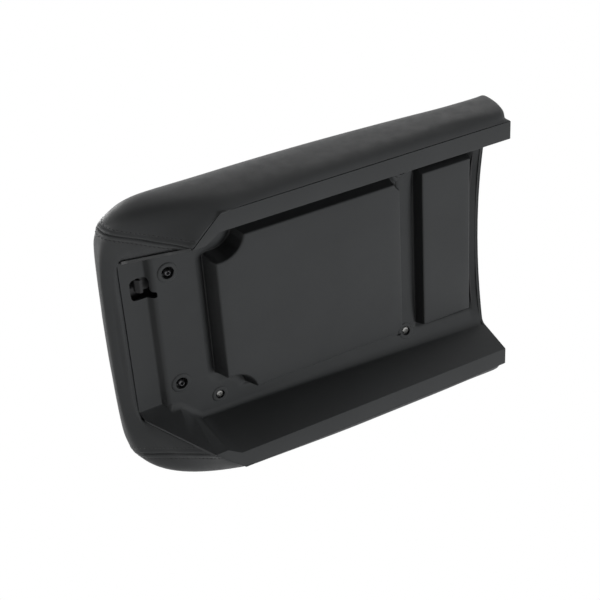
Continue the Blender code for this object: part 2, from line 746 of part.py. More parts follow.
def make_ledge_block():
    """Solid from below up to the middle of the ledge's thickness."""
    bm = bmesh.new()
    low = 0.020
    half = LEDGE_HALF - LEDGE_EDGE_WIDTH - 0.001
    xs = [mix(-half, half, index / 8) for index in range(9)]
    ys = [mix(STEP_Y + 0.004, LINER_REAR - 0.002, index / 12) for index in range(13)]
    top = [[bm.verts.new((x, y, ledge_height(x, y) + LINER_WALL / 2)) for x in xs] for y in ys]
    base = [[bm.verts.new((x, y, low)) for x in xs] for y in ys]
    for near in range(len(ys) - 1):
        for side in range(len(xs) - 1):
            bm.faces.new((top[near][side], top[near][side + 1], top[near + 1][side + 1], top[near + 1][side]))
            bm.faces.new((base[near][side], base[near + 1][side], base[near + 1][side + 1],
                          base[near][side + 1]))
    for near in range(len(ys) - 1):
        for side in (0, -1):
            bm.faces.new((base[near][side], base[near + 1][side], top[near + 1][side], top[near][side]))
    for side in range(len(xs) - 1):
        for near in (0, -1):
            bm.faces.new((base[near][side], base[near][side + 1], top[near][side + 1], top[near][side]))
    close_outwards(bm)
    block = add_object("ledge_block", bm)
    hide_tool(block)
    return block


def make_end_wall():
    """Upright wall that closes the space between the liner's inner walls and the cover."""
    bm = bmesh.new()
    sink = LINER_WALL * 0.45
    shares = [index / 8 for index in range(9)]
    arch_half = LEDGE_HALF - LEDGE_EDGE_WIDTH
    inner = [(arch_half * share, ledge_height(arch_half * share, LINER_REAR) + sink) for share in shares]
    inner += [(LEDGE_HALF + sink, ledge_height(LEDGE_HALF, LINER_REAR) - LEDGE_EDGE_DROP + sink),
              (FOOT_HALF + sink, sink), (RIM_HALF - GAP, sink)]
    outer = end_arch_points(RIM_HALF - GAP, 0.0)
    near = LINER_REAR - GAP - END_WALL
    far = LINER_REAR - GAP
    right = [(x, z) for x, z in outer]
    left = [(-x, z) for x, z in outer[:0:-1]]
    top_loop = left + right
    right_inner = [(x, z) for x, z in inner]
    left_inner = [(-x, z) for x, z in inner[:0:-1]]
    low_loop = left_inner + right_inner
    loop = top_loop + low_loop[::-1]
    add_prism(bm, [Vector((x, near, z)) for x, z in loop], [Vector((x, far, z)) for x, z in loop])
    close_outwards(bm)
    wall = add_object("end_wall", bm)
    hide_tool(wall)
    return wall


def liner_screw_places():
    half = LARGE_PANEL_HALF + LINER_SCREW_OUT
    return [(side * half, y) for y in (LARGE_FRONT + LINER_SCREW_FRONT, LARGE_REAR + LINER_SCREW_REAR)
            for side in (-1, 1)]


def latch_screw_places():
    return [(side * LATCH_SCREW_HALF, STEP_Y + LATCH_SCREW_BACK) for side in (-1, 1)]


def liner_boss_top(place):
    return ledge_height(*place) + LINER_WALL + 0.0020


def latch_boss_top():
    x, y = latch_screw_places()[0]
    return ledge_height(x, y) + LATCH_RECESS_DEPTH + BOSS_FLOOR


def add_recess(bm, place, wide, narrow, low, seat, high, sides):
    """Stepped cutter for a counterbored screw hole."""
    add_turned(bm, place, [(0.0, low), (wide, low), (wide, seat), (narrow, seat), (narrow, high), (0.0, high)],
               sides)


def make_liner(material):
    liner = add_object("liner", make_liner_sheet(), material, 35)
    wall = liner.modifiers.new("wall", "SOLIDIFY")
    wall.thickness = LINER_WALL
    wall.offset = 1.0
    wall.use_even_offset = True
    wall.use_quality_normals = True
    block = make_ledge_block()
    for name, loop_of, face in (("large_panel", large_panel_loop, LARGE_PANEL_HEIGHT),
                                ("small_panel", small_panel_loop, SMALL_PANEL_HEIGHT)):
        cup, pit = panel_tools(name, loop_of, face)
        combine(cup, block, "INTERSECT")
        combine(liner, pit, "DIFFERENCE")
        combine(liner, cup, "UNION")
    combine(liner, make_end_wall(), "UNION")

    posts = bmesh.new()
    recesses = bmesh.new()
    hole = SCREW_SHANK_RADIUS + GAP
    for place in liner_screw_places():
        base = ledge_height(*place)
        top = liner_boss_top(place)
        add_disc_solid(posts, place, LINER_BOSS_RADIUS, base - BOSS_PROUD, top, 22)
        add_recess(recesses, place, LINER_RECESS_RADIUS, hole, base - 0.01, top - BOSS_FLOOR, top + 0.004, 18)
    for place in latch_screw_places():
        base = ledge_height(*place)
        top = latch_boss_top()
        add_disc_solid(posts, place, LATCH_BOSS_RADIUS, base - BOSS_PROUD, top, 24)
        add_recess(recesses, place, LATCH_RECESS_RADIUS, hole, base - 0.01, base + LATCH_RECESS_DEPTH,
                   top + 0.004, 24)
    close_outwards(recesses)
    for name, tool_mesh, operation in (("boss_posts", posts, "UNION"), ("boss_recesses", recesses, "DIFFERENCE")):
        tool = add_object(name, tool_mesh)
        hide_tool(tool)
        combine(liner, tool, operation)

    slot = bmesh.new()
    notch = SLOT_LOW_X + SLOT_NOTCH_WIDTH
    ahead = STEP_Y - SLOT_AHEAD
    behind = STEP_Y + SLOT_BEHIND
    mouth = STEP_FOOT_Y + 0.0006
    plan = ((SLOT_LOW_X, ahead), (SLOT_HIGH_X, ahead), (SLOT_HIGH_X, mouth), (notch, mouth),
            (notch, behind), (SLOT_LOW_X, behind))
    add_prism(slot, [Vector((x, y, 0.050)) for x, y in plan], [Vector((x, y, 0.075)) for x, y in plan])
    close_outwards(slot)
    slot_tool = add_object("latch_slot", slot)
    hide_tool(slot_tool)
    combine(liner, slot_tool, "DIFFERENCE")
    return liner


# Base shell with the pillars that the liner is screwed to

def shell_drop():
    """Depth of the base shell's outside under the top of the cover."""
    return COVER_THICKNESS + FOAM_CROWN_THICKNESS + 3 * GAP


def make_foam(skins, room, material):
    foam = cushion("foam_pad", skins["foam_outer"], material)
    cavity = dome("foam_cavity", -GAP, shell_drop() - GAP, -0.013)
    hide_tool(cavity)
    combine(foam, cavity, "DIFFERENCE")
    combine(foam, room, "DIFFERENCE")
    combine(foam, make_end_room(), "DIFFERENCE")


def make_shell(room, material):
    shell = dome("base_shell", 0.0, shell_drop(), -0.012)
    shell.data.materials.append(material)
    shell.data.shade_smooth()
    shell.data.set_sharp_from_angle(angle=math.radians(40))
    hollow = dome("shell_hollow", SHELL_WALL, shell_drop() + SHELL_WALL, -0.014)
    hide_tool(hollow)
    combine(shell, hollow, "DIFFERENCE")
    combine(shell, room, "DIFFERENCE")
    pillars = bmesh.new()
    holes = bmesh.new()
    for place in liner_screw_places():
        foot = liner_boss_top(place) + GAP
        top = crown_height(*place) - shell_drop() - SHELL_WALL / 2
        add_disc_solid(pillars, place, PILLAR_RADIUS, foot, top, 14)
        add_disc_solid(holes, place, SCREW_SHANK_RADIUS + GAP, foot - 0.001, foot + SCREW_GRIP, 12)
    for name, tool_mesh, operation in (("pillars", pillars, "UNION"), ("pillar_holes", holes, "DIFFERENCE")):
        tool = add_object(name, tool_mesh)
        hide_tool(tool)
        combine(shell, tool, operation)
    return shell


# Fasteners

def screw_mesh(length):
    """Pan-head screw, its head's seat at Z = 0, pointing up, with a six-sided recess."""
    head = SCREW_HEAD_RADIUS
    low = -SCREW_HEAD_HEIGHT
    return turned([(0.0, low), (head * 0.62, low), (head * 0.92, low * 0.72), (head, low * 0.3), (head, 0.0),
                   (SCREW_SHANK_RADIUS, 0.0), (SCREW_SHANK_RADIUS, length - 0.0015),
                   (SCREW_SHANK_RADIUS * 0.35, length), (0.0, length)], 16)


def make_screw(name, place, seat, length, material):
    screw = add_object(name, screw_mesh(length), material, 40)
    screw.location = (*place, seat)
    recess = bmesh.new()
    add_disc_solid(recess, (0, 0), SCREW_HEAD_RADIUS * 0.42, -2 * SCREW_HEAD_HEIGHT, -SCREW_HEAD_HEIGHT * 0.35, 6)
    tool = add_object(name + "_drive", recess)
    tool.location = screw.location
    hide_tool(tool)
    combine(screw, tool, "DIFFERENCE")
    return screw


def make_fasteners(bright, dark):
    for number, place in enumerate(liner_screw_places(), start=1):
        seat = liner_boss_top(place) - BOSS_FLOOR - GAP
        length = BOSS_FLOOR + GAP + SCREW_GRIP - 0.001
        make_screw(f"liner_screw_{number}", place, seat, length, bright)
    for name, place in zip(("left", "right"), latch_screw_places()):
        seat = ledge_height(*place) + LATCH_RECESS_DEPTH - GAP
        length = BOSS_FLOOR + BRACKET_THICKNESS + NUT_HEIGHT + 4 * GAP
        make_screw(f"latch_screw_{name}", place, seat, length + 0.0003, dark)
        bm = bmesh.new()
        low = bracket_low() + BRACKET_THICKNESS + GAP
        add_disc_solid(bm, place, NUT_RADIUS, low, low + NUT_HEIGHT, 6)
        nut = add_object(f"latch_nut_{name}", bm, bright)
        hole = bmesh.new()
        add_disc_solid(hole, place, SCREW_SHANK_RADIUS + GAP, low - 0.001, low + NUT_HEIGHT + 0.001, 12)
        tool = add_object(f"latch_nut_{name}_hole", hole)
        hide_tool(tool)
        combine(nut, tool, "DIFFERENCE")


# Latch: a sprung catch on a pin between two ears of a sheet bracket

def bracket_low():
    return latch_boss_top() + GAP


def pin_place():
    """Height and length position of the latch pin."""
    y = STEP_Y + LATCH_SCREW_BACK - BRACKET_DEPTH / 2 - EAR_LENGTH + 0.0036
    return y, bracket_low() + EAR_HEIGHT - 0.0034


def catch_middle():
    return (SLOT_LOW_X + SLOT_HIGH_X) / 2


def make_bracket(material):
    bm = bmesh.new()
    low = bracket_low()
    middle = STEP_Y + LATCH_SCREW_BACK
    near = middle - BRACKET_DEPTH / 2
    far = middle + BRACKET_DEPTH / 2
    end = LATCH_SCREW_HALF + BRACKET_END
    add_box(bm, (-end, near, low), (end, far, low + BRACKET_THICKNESS))
    bracket = add_object("latch_bracket", bm, material)
    ears = bmesh.new()
    inner = CATCH_WIDTH / 2 + GAP
    for side in (-1, 1):
        one = catch_middle() + side * inner
        other = catch_middle() + side * (inner + BRACKET_THICKNESS)
        add_box(ears, (min(one, other), near - EAR_LENGTH, low + 0.0002),
                (max(one, other), near + 0.003, low + EAR_HEIGHT))
    tool = add_object("bracket_ears", ears)
    hide_tool(tool)
    combine(bracket, tool, "UNION")
    holes = bmesh.new()
    for place in latch_screw_places():
        add_disc_solid(holes, place, SCREW_SHANK_RADIUS + GAP, low - 0.002, low + 0.004, 12)
    pin_y, pin_z = pin_place()
    bmesh.ops.create_cone(holes, cap_ends=True, segments=12, radius1=PIN_RADIUS + PIN_CLEARANCE,
                          radius2=PIN_RADIUS + PIN_CLEARANCE, depth=CATCH_WIDTH * 2,
                          matrix=Matrix.Translation((catch_middle(), pin_y, pin_z))
                          @ Matrix.Rotation(math.pi / 2, 4, "Y"))
    hole_tool = add_object("bracket_holes", holes)
    hide_tool(hole_tool)
    combine(bracket, hole_tool, "DIFFERENCE")
    return bracket


def make_pin(material):
    pin_y, pin_z = pin_place()
    length = CATCH_WIDTH + 2 * GAP + 2 * BRACKET_THICKNESS + 0.0020
    bm = bmesh.new()
    bmesh.ops.create_cone(bm, cap_ends=True, segments=12, radius1=PIN_RADIUS, radius2=PIN_RADIUS,
                          depth=length, matrix=Matrix.Rotation(math.pi / 2, 4, "Y"))
    pin = add_object("latch_pin", bm, material, 40)
    pin.location = (catch_middle(), pin_y, pin_z)


def catch_profile():
    """Side view of the catch about its pin: an eye, an arm and a hooked nose."""
    arm_top = CATCH_THICKNESS / 2
    reach = CATCH_REACH
    drop = CATCH_DROP
    eye = arc_points((0.0, 0.0), CATCH_EYE_RADIUS, -150, 150, 10)
    eye = [(y, z) for y, z in eye]
    hook = [(-reach, arm_top), (-reach, -drop * 0.45), (-reach + 0.0035, -drop),
            (-reach + 0.0060, -drop), (-reach + 0.0046, -drop * 0.5), (-reach + 0.0050, -arm_top)]
    return eye + hook


def make_catch(material):
    pin_y, pin_z = pin_place()
    half = CATCH_WIDTH / 2
    bm = bmesh.new()
    profile = catch_profile()
    add_prism(bm, [Vector((-half, y, z)) for y, z in profile], [Vector((half, y, z)) for y, z in profile])
    close_outwards(bm)
    catch = add_object("latch_catch", bm, material, 35)
    catch.location = (catch_middle(), pin_y, pin_z)
    hole = bmesh.new()
    bmesh.ops.create_cone(hole, cap_ends=True, segments=12, radius1=PIN_RADIUS + PIN_CLEARANCE,
                          radius2=PIN_RADIUS + PIN_CLEARANCE, depth=CATCH_WIDTH * 2,
                          matrix=Matrix.Rotation(math.pi / 2, 4, "Y"))
    tool = add_object("catch_hole", hole)
    tool.location = catch.location
    hide_tool(tool)
    combine(catch, tool, "DIFFERENCE")


def spring_span():
    """Foot and head heights of the latch spring, and its place along the lid."""
    pin_y, pin_z = pin_place()
    y = pin_y - CATCH_REACH * 0.55
    foot = pin_z + CATCH_THICKNESS / 2 + GAP
    head = crown_height(catch_middle(), y) - shell_drop() - SHELL_WALL - 0.0012
    return y, foot, head


def make_spring(material):
    """Coil spring that presses the catch down from the base shell."""
    y, foot, head = spring_span()
    curve = bpy.data.curves.new("latch_spring", "CURVE")
    curve.dimensions = "3D"
    curve.bevel_depth = SPRING_WIRE
    curve.bevel_resolution = 1
    curve.use_fill_caps = True
    steps_per_turn = 10
    count = int(SPRING_TURNS * steps_per_turn) + 1
    low = foot + SPRING_WIRE
    high = head - SPRING_WIRE
    spline = curve.splines.new("POLY")
    spline.points.add(count - 1)
    for index in range(count):
        share = index / (count - 1)
        angle = math.tau * SPRING_TURNS * share
        spline.points[index].co = (SPRING_RADIUS * math.cos(angle), SPRING_RADIUS * math.sin(angle),
                                   mix(low, high, share), 1.0)
    curve.materials.append(material)
    spring = bpy.data.objects.new("latch_spring", curve)
    spring.location = (catch_middle(), y, 0.0)
    bpy.context.scene.collection.objects.link(spring)


def main():
    clear_scene()
    cover = make_material("cover_leather", (0.055, 0.056, 0.058), 0.55)
    foam = make_material("foam", (0.62, 0.58, 0.42), 0.95)
    shell = make_material("shell_plastic", (0.03, 0.03, 0.032), 0.6)
    liner = make_material("liner_plastic", (0.045, 0.046, 0.048), 0.5)
    steel = make_material("bright_steel", (0.62, 0.62, 0.60), 0.35, 1.0)
    black_steel = make_material("black_steel", (0.06, 0.06, 0.065), 0.45, 1.0)
    catch = make_material("catch_plastic", (0.02, 0.02, 0.02), 0.45)
    skins = make_skins()
    make_cover(skins, cover)
    room = make_liner_room()
    make_foam(skins, room, foam)
    make_shell(room, shell)
    make_liner(liner)
    make_fasteners(steel, black_steel)
    make_bracket(steel)
    make_pin(steel)
    make_catch(catch)
    make_spring(steel)


main()
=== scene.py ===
"""Looks of a padded console lid: leather cover, moulded liner, screws and latch.

The lid lies padding up, with its rims on the floor. The camera looks up at its
underside through the floor, which shows from above only.
"""

import math

import bmesh
import bpy
from bpy.props import FloatProperty, FloatVectorProperty, IntProperty, PointerProperty
from mathutils import Matrix, Vector


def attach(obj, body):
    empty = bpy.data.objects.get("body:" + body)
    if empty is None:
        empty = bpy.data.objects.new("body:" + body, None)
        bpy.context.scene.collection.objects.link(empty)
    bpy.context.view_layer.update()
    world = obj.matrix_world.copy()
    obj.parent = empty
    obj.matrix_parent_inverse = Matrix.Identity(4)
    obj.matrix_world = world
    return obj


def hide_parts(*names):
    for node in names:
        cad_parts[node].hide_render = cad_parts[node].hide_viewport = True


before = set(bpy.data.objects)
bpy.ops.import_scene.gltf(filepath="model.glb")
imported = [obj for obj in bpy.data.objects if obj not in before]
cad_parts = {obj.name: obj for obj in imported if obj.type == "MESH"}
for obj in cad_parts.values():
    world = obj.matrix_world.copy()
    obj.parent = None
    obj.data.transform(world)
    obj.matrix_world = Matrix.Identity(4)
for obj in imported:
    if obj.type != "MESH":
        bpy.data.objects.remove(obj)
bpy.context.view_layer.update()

bl_info = {
    "name": "Padded Console Lid",
    "version": (1, 0, 0),
    "blender": (4, 5, 0),
    "location": "View3D > Sidebar > Console Lid",
    "description": "Builds the cover, moulded liner, screws and latch of a padded console lid",
    "category": "Add Mesh",
}

# Lengths of the liner along Y and half-widths across X, as the solids have them
STRIP_FRONT = -0.1808
STEP_FOOT = -0.1572
STEP_TOP = -0.1525
LARGE_FRONT = -0.0970
LARGE_REAR = 0.0972
SMALL_FRONT = 0.1235
SMALL_REAR = 0.1782
LINER_REAR = 0.1933
NOSE = -0.1980
HINGE_END = 0.1980
LARGE_HALF = 0.0827
SMALL_HALF = 0.0845
RIDGE_HALF = 0.1055
FOOT_HALF = 0.1173
RIM_HALF = 0.1350
LID_HALF = 0.1460
RIM_CORNER = -0.1066
DIAGONAL_END = (0.1085, -0.1356)
CHEEK_END = (0.0840, -0.1796)
CHEEK_HEIGHT = 0.0545
STRIP_HALF = 0.0805
STRIP_HEIGHT = 0.0650
LEDGE_HEIGHT = 0.0580
LEDGE_REAR_HEIGHT = 0.0495
LEDGE_ARCH = 0.555       # radius of the ledge across, at the hinge end
LEDGE_RISE = 0.0039      # how far the ledge's middle stands above its straight line
LIP_START = 0.1815       # where the ledge turns down to the arch at the hinge end
ARCH_HALF = 0.1260
CROWN_TOP = 0.1000
CROWN_MIDDLE = -0.0600   # where along Y the padding is highest
CROWN_ALONG = 1.302      # radii of the crown
CROWN_ACROSS = 0.833
LARGE_HEIGHT = 0.0416
SMALL_HEIGHT = 0.0426
WALL = 0.0025
SEAM_LEAN = 0.16
NOTCH_OUT = 0.0053
FRONT_NOTCH = 0.0265
REAR_NOTCH = 0.0150
SCREW_PLACES = ((-0.0880, -0.1005), (0.0880, -0.1005), (-0.0900, 0.1062), (0.0900, 0.1062))
LATCH_SCREW_X = 0.0599
LATCH_SCREW_Y = -0.1380


def mix(low, high, share):
    return low + (high - low) * share


def ledge_height(x, y):
    """Height of the liner's ledge, which falls to its sides and ends in an arch."""
    share = min(max((y - LARGE_FRONT) / (LINER_REAR - LARGE_FRONT), 0.0), 1.0)
    raised = min(share / 0.55, 1.0)
    straight = mix(LEDGE_HEIGHT, LEDGE_REAR_HEIGHT, share)
    middle = straight + LEDGE_RISE * raised * raised * (3 - 2 * raised)
    side = straight - share * RIDGE_HALF ** 2 / (2 * LEDGE_ARCH)
    body = mix(middle, side, min(abs(x) / RIDGE_HALF, 1.1) ** 5)
    late = min(max((y - LIP_START) / (LINER_REAR - LIP_START), 0.0), 1.0)
    end = LEDGE_REAR_HEIGHT - x * x / (2 * LEDGE_ARCH)
    return mix(body, end, late ** 1.3)


def ledge_drop(x, y):
    """How far the ledge falls away towards its sides."""
    y = min(y, LIP_START)
    return ledge_height(0.0, y) - ledge_height(x, y)


def crown_height(x, y):
    """Height of the padding's crowned top."""
    return CROWN_TOP - (y - CROWN_MIDDLE) ** 2 / (2 * CROWN_ALONG) - x * x / (2 * CROWN_ACROSS)


def end_arch_height(x):
    """Height of the arch's outer edge at the hinge end, which the cover meets."""
    return ledge_height(min(abs(x), ARCH_HALF), LINER_REAR) + 0.006


# Settings

class LinerSettings(bpy.types.PropertyGroup):
    colour: FloatVectorProperty(name="Colour", description="Colour of the moulded plastic",
                                subtype="COLOR",
                                default=(0.034, 0.0355, 0.0365), min=0, max=1)
    roughness: FloatProperty(name="Roughness", description="Roughness of the moulded plastic",
                             default=0.48,
                             min=0, max=1, subtype="FACTOR")
    ridge_round: FloatProperty(name="Ridge rounding",
                               description="Rounding of the ledge's outer ridge",
                               default=0.0048, unit="LENGTH")
    panel_round: FloatProperty(name="Panel rounding",
                               description="Rounding of the raised panels' edges",
                               default=0.0034, unit="LENGTH")
    groove_width: FloatProperty(name="Groove width",
                                description="Width of the moat at the large panel's front",
                                default=0.0080, unit="LENGTH")
    groove_depth: FloatProperty(name="Groove depth",
                                description="Depth of the moat at the large panel's front",
                                default=0.0034, unit="LENGTH")
    boss_height: FloatProperty(name="Boss height",
                               description="How far the screw bosses stand off the ledge",
                               default=0.0011, unit="LENGTH")


class CoverSettings(bpy.types.PropertyGroup):
    colour: FloatVectorProperty(name="Colour", description="Colour of the leather",
                                subtype="COLOR",
                                default=(0.034, 0.0355, 0.0365), min=0, max=1)
    roughness: FloatProperty(name="Roughness", description="Roughness of the leather",
                             default=0.50,
                             min=0, max=1, subtype="FACTOR")
    swell: FloatProperty(name="Swell",
                         description="Furthest that the padding may push the leather out",
                         default=0.0016, unit="LENGTH")
    seam_half: FloatProperty(name="Seam position",
                             description="Distance of each seam from the middle",
                             default=0.1090, unit="LENGTH")
    seam_depth: FloatProperty(name="Seam depth", description="Depth of the groove along each seam",
                              default=0.0011, unit="LENGTH")
    thickness: FloatProperty(name="Thickness", description="Thickness of the leather",
                             default=0.0015,
                             unit="LENGTH")
    steps: IntProperty(name="Cloth steps", description="Frames of cloth simulation", default=20,
                       min=2, max=60)


class StitchSettings(bpy.types.PropertyGroup):
    length: FloatProperty(name="Stitch length", description="Length of one stitch", default=0.0030,
                          unit="LENGTH")
    spacing: FloatProperty(name="Stitch spacing",
                           description="Distance from one stitch to the next",
                           default=0.0040, unit="LENGTH")
    offset: FloatProperty(name="Stitch offset",
                          description="Distance of each stitch line from its seam",
                          default=0.0058, unit="LENGTH")
    radius: FloatProperty(name="Thread radius", description="Radius of the thread",
                          default=0.00032,
                          unit="LENGTH")
    colour: FloatVectorProperty(name="Thread colour", description="Colour of the thread",
                                subtype="COLOR",
                                default=(0.011, 0.0112, 0.012), min=0, max=1)


class ScrewSettings(bpy.types.PropertyGroup):
    head_radius: FloatProperty(name="Head radius", description="Radius of the liner screws' heads",
                               default=0.0038, unit="LENGTH")
    latch_head_radius: FloatProperty(name="Latch head radius",
                                     description="Radius of the latch screws' heads",
                                     default=0.0038, unit="LENGTH")
    bright: FloatVectorProperty(name="Bright", description="Colour of the bright screws",
                                subtype="COLOR",
                                default=(0.36, 0.36, 0.35), min=0, max=1)
    dark: FloatVectorProperty(name="Dark", description="Colour of the dark screws",
                              subtype="COLOR",
                              default=(0.12, 0.12, 0.125), min=0, max=1)


class LatchSettings(bpy.types.PropertyGroup):
    # The steel's colour is set far darker than plated steel as painted shade, so the latch seen
    # through the slot stays dark and shows no lamp highlight.
    steel_painted_dark: FloatVectorProperty(name="Steel", description="Colour of the bracket and its pin",
                               subtype="COLOR",
                               default=(0.035, 0.035, 0.035), min=0, max=1)
    catch: FloatVectorProperty(name="Catch", description="Colour of the catch", subtype="COLOR",
                               default=(0.022, 0.022, 0.023), min=0, max=1)


class StageSettings(bpy.types.PropertyGroup):
    backdrop: FloatVectorProperty(name="Backdrop", description="Colour of the backdrop",
                                  subtype="COLOR",
                                  default=(1.0, 1.0, 1.0), min=0, max=1)
    key_power: FloatProperty(name="Key power", description="Power of the main lamp", default=86.0,
                             unit="POWER")
    side_power: FloatProperty(name="Side power", description="Power of the side lamp",
                              default=4.0,
                              unit="POWER")
    front_power: FloatProperty(name="Front power",
                               description="Power of the lamp in front of the nose",
                               default=14.0, unit="POWER")
    top_power: FloatProperty(name="Top power", description="Power of the lamp above the lid",
                             default=24.0,
                             unit="POWER")
    ambient: FloatProperty(name="Ambient", description="Strength of the light from all round",
                           default=0.045,
                           min=0)


# Materials

class Finish:
    """A Principled material with short calls for its nodes."""

    def __init__(self, name, colour, roughness, metallic=0.0, specular=0.5):
        self.material = bpy.data.materials.new(name)
        self.material.use_nodes = True
        self.tree = self.material.node_tree
        self.shader = self.tree.nodes["Principled BSDF"]
        self.shader.inputs["Base Color"].default_value = (*colour, 1)
        self.shader.inputs["Roughness"].default_value = roughness
        self.shader.inputs["Metallic"].default_value = metallic
        self.shader.inputs["Specular IOR Level"].default_value = specular
        self.colour = colour
        self.roughness = roughness
        self.place = self.tree.nodes.new("ShaderNodeTexCoord").outputs["Object"]

    def link(self, output, socket):
        self.tree.links.new(output, socket)

    def noise(self, scale, detail=2.0, roughness=0.5, place=None):
        node = self.tree.nodes.new("ShaderNodeTexNoise")
        node.inputs["Scale"].default_value = scale
        node.inputs["Detail"].default_value = detail
        node.inputs["Roughness"].default_value = roughness
        self.link(place or self.place, node.inputs["Vector"])
        return node.outputs["Fac"]

    def cells(self, scale, feature="F1", place=None):
        node = self.tree.nodes.new("ShaderNodeTexVoronoi")
        node.feature = feature
        node.inputs["Scale"].default_value = scale
        self.link(place or self.place, node.inputs["Vector"])
        return node.outputs["Distance"]

    def stretched(self, scale):
        node = self.tree.nodes.new("ShaderNodeMapping")
        node.inputs["Scale"].default_value = scale
        self.link(self.place, node.inputs["Vector"])
        return node.outputs["Vector"]

    def spread(self, value, low, high, to_low=0.0, to_high=1.0):
        node = self.tree.nodes.new("ShaderNodeMapRange")
        node.inputs["From Min"].default_value = low
        node.inputs["From Max"].default_value = high
        node.inputs["To Min"].default_value = to_low
        node.inputs["To Max"].default_value = to_high
        self.link(value, node.inputs["Value"])
        return node.outputs["Result"]

    def sums(self, operation, first, second):
        node = self.tree.nodes.new("ShaderNodeMath")
        node.operation = operation
        for socket, value in zip(node.inputs, (first, second)):
            if isinstance(value, (int, float)):
                socket.default_value = value
            else:
                self.link(value, socket)
        return node.outputs["Value"]

    def vary_colour(self, value, darker, lighter):
        ramp = self.tree.nodes.new("ShaderNodeValToRGB")
        for element, share in zip(ramp.color_ramp.elements, (darker, lighter)):
            element.color = (*[min(part * share, 1.0) for part in self.colour], 1)
        self.link(value, ramp.inputs["Fac"])
        self.link(ramp.outputs["Color"], self.shader.inputs["Base Color"])

    def vary_roughness(self, value, low, high):
        self.link(self.spread(value, 0.3, 0.7, low, high), self.shader.inputs["Roughness"])

    def bump(self, value, distance, strength=1.0, base=None):
        node = self.tree.nodes.new("ShaderNodeBump")
        node.inputs["Distance"].default_value = distance
        node.inputs["Strength"].default_value = strength
        self.link(value, node.inputs["Height"])
        if base is not None:
            self.link(base, node.inputs["Normal"])
        self.link(node.outputs["Normal"], self.shader.inputs["Normal"])
        return node.outputs["Normal"]


def moulded_plastic(name, colour, roughness):
    """Plastic with a fine sand-like moulded grain."""
    finish = Finish(name, colour, roughness, specular=0.22)
    grain = finish.noise(2600, 2.0, 0.6)
    clouds = finish.noise(14, 3.0)
    finish.vary_colour(finish.spread(clouds, 0.3, 0.7), 0.93, 1.07)
    finish.vary_roughness(finish.noise(300, 2.0), roughness - 0.03, roughness + 0.04)
    finish.bump(grain, 0.00006, 0.55)
    return finish.material


def grained_leather(name, colour, roughness):
    """Leather with fine pebbles, a few pores and broad soft creases."""
    finish = Finish(name, colour, roughness, specular=0.22)
    pebbles = finish.cells(900, "SMOOTH_F1")
    fine = finish.noise(3200, 2.0, 0.6)
    broad = finish.noise(32, 3.0, 0.55)
    height = finish.sums("MULTIPLY_ADD", pebbles, 0.75)
    finish.link(fine, height.node.inputs[2])
    finish.vary_colour(finish.spread(finish.noise(10, 2.0), 0.3, 0.7), 0.94, 1.06)
    finish.vary_roughness(finish.noise(120, 3.0), roughness - 0.05, roughness + 0.05)
    first = finish.bump(broad, 0.0008, 0.10)
    finish.bump(height, 0.00010, 0.45, first)
    return finish.material


def brushed_steel(name, colour, roughness):
    """Plated steel with faint drawing marks."""
    finish = Finish(name, colour, roughness, metallic=1.0)
    marks = finish.noise(1.0, 3.0, 0.6, finish.stretched((260, 2600, 2600)))
    finish.vary_colour(finish.spread(finish.noise(90, 3.0), 0.3, 0.7), 0.82, 1.08)
    finish.vary_roughness(marks, roughness - 0.07, roughness + 0.08)
    finish.bump(marks, 0.00004, 0.4)
    return finish.material


def twisted_thread(name, colour):
    """Sewing thread with fine uneven strands."""
    finish = Finish(name, colour, 0.62)
    strands = finish.noise(1.0, 2.0, 0.5, finish.stretched((5200, 5200, 2600)))
    finish.vary_colour(finish.spread(strands, 0.3, 0.7), 0.7, 1.4)
    finish.bump(strands, 0.00008, 0.6)
    return finish.material


# Mesh helpers

def add_piece(name, bm, material, body="lid", sharp=None):
    mesh = bpy.data.meshes.new(name)
    bm.to_mesh(mesh)
    bm.free()
    mesh.materials.append(material)
    mesh.shade_smooth()
    if sharp is not None:
        mesh.set_sharp_from_angle(angle=math.radians(sharp))
    piece = bpy.data.objects.new(name, mesh)
    bpy.context.scene.collection.objects.link(piece)
    if body:
        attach(piece, body)
    return piece


def chain(bm, points, closed=False):
    """Edges through a few points, as (vertices, edges)."""
    verts = [bm.verts.new(point) for point in points]
    pairs = list(zip(verts, verts[1:]))
    if closed:
        pairs.append((verts[-1], verts[0]))
    return verts, [bm.edges.new(pair) for pair in pairs]


def arc(centre, radius, start, end, steps):
    """Points on an arc in plan, angles in degrees."""
    points = []
    for index in range(steps + 1):
        angle = math.radians(mix(start, end, index / steps))
        points.append((centre[0] + radius * math.cos(angle), centre[1] + radius * math.sin(angle)))
    return points


def bake_modifiers(piece):
    """Applies all of a piece's modifiers."""
    graph = bpy.context.evaluated_depsgraph_get()
    graph.update()
    mesh = bpy.data.meshes.new_from_object(piece.evaluated_get(graph), depsgraph=graph)
    old = piece.data
    piece.modifiers.clear()
    piece.data = mesh
    bpy.data.meshes.remove(old)


# Liner

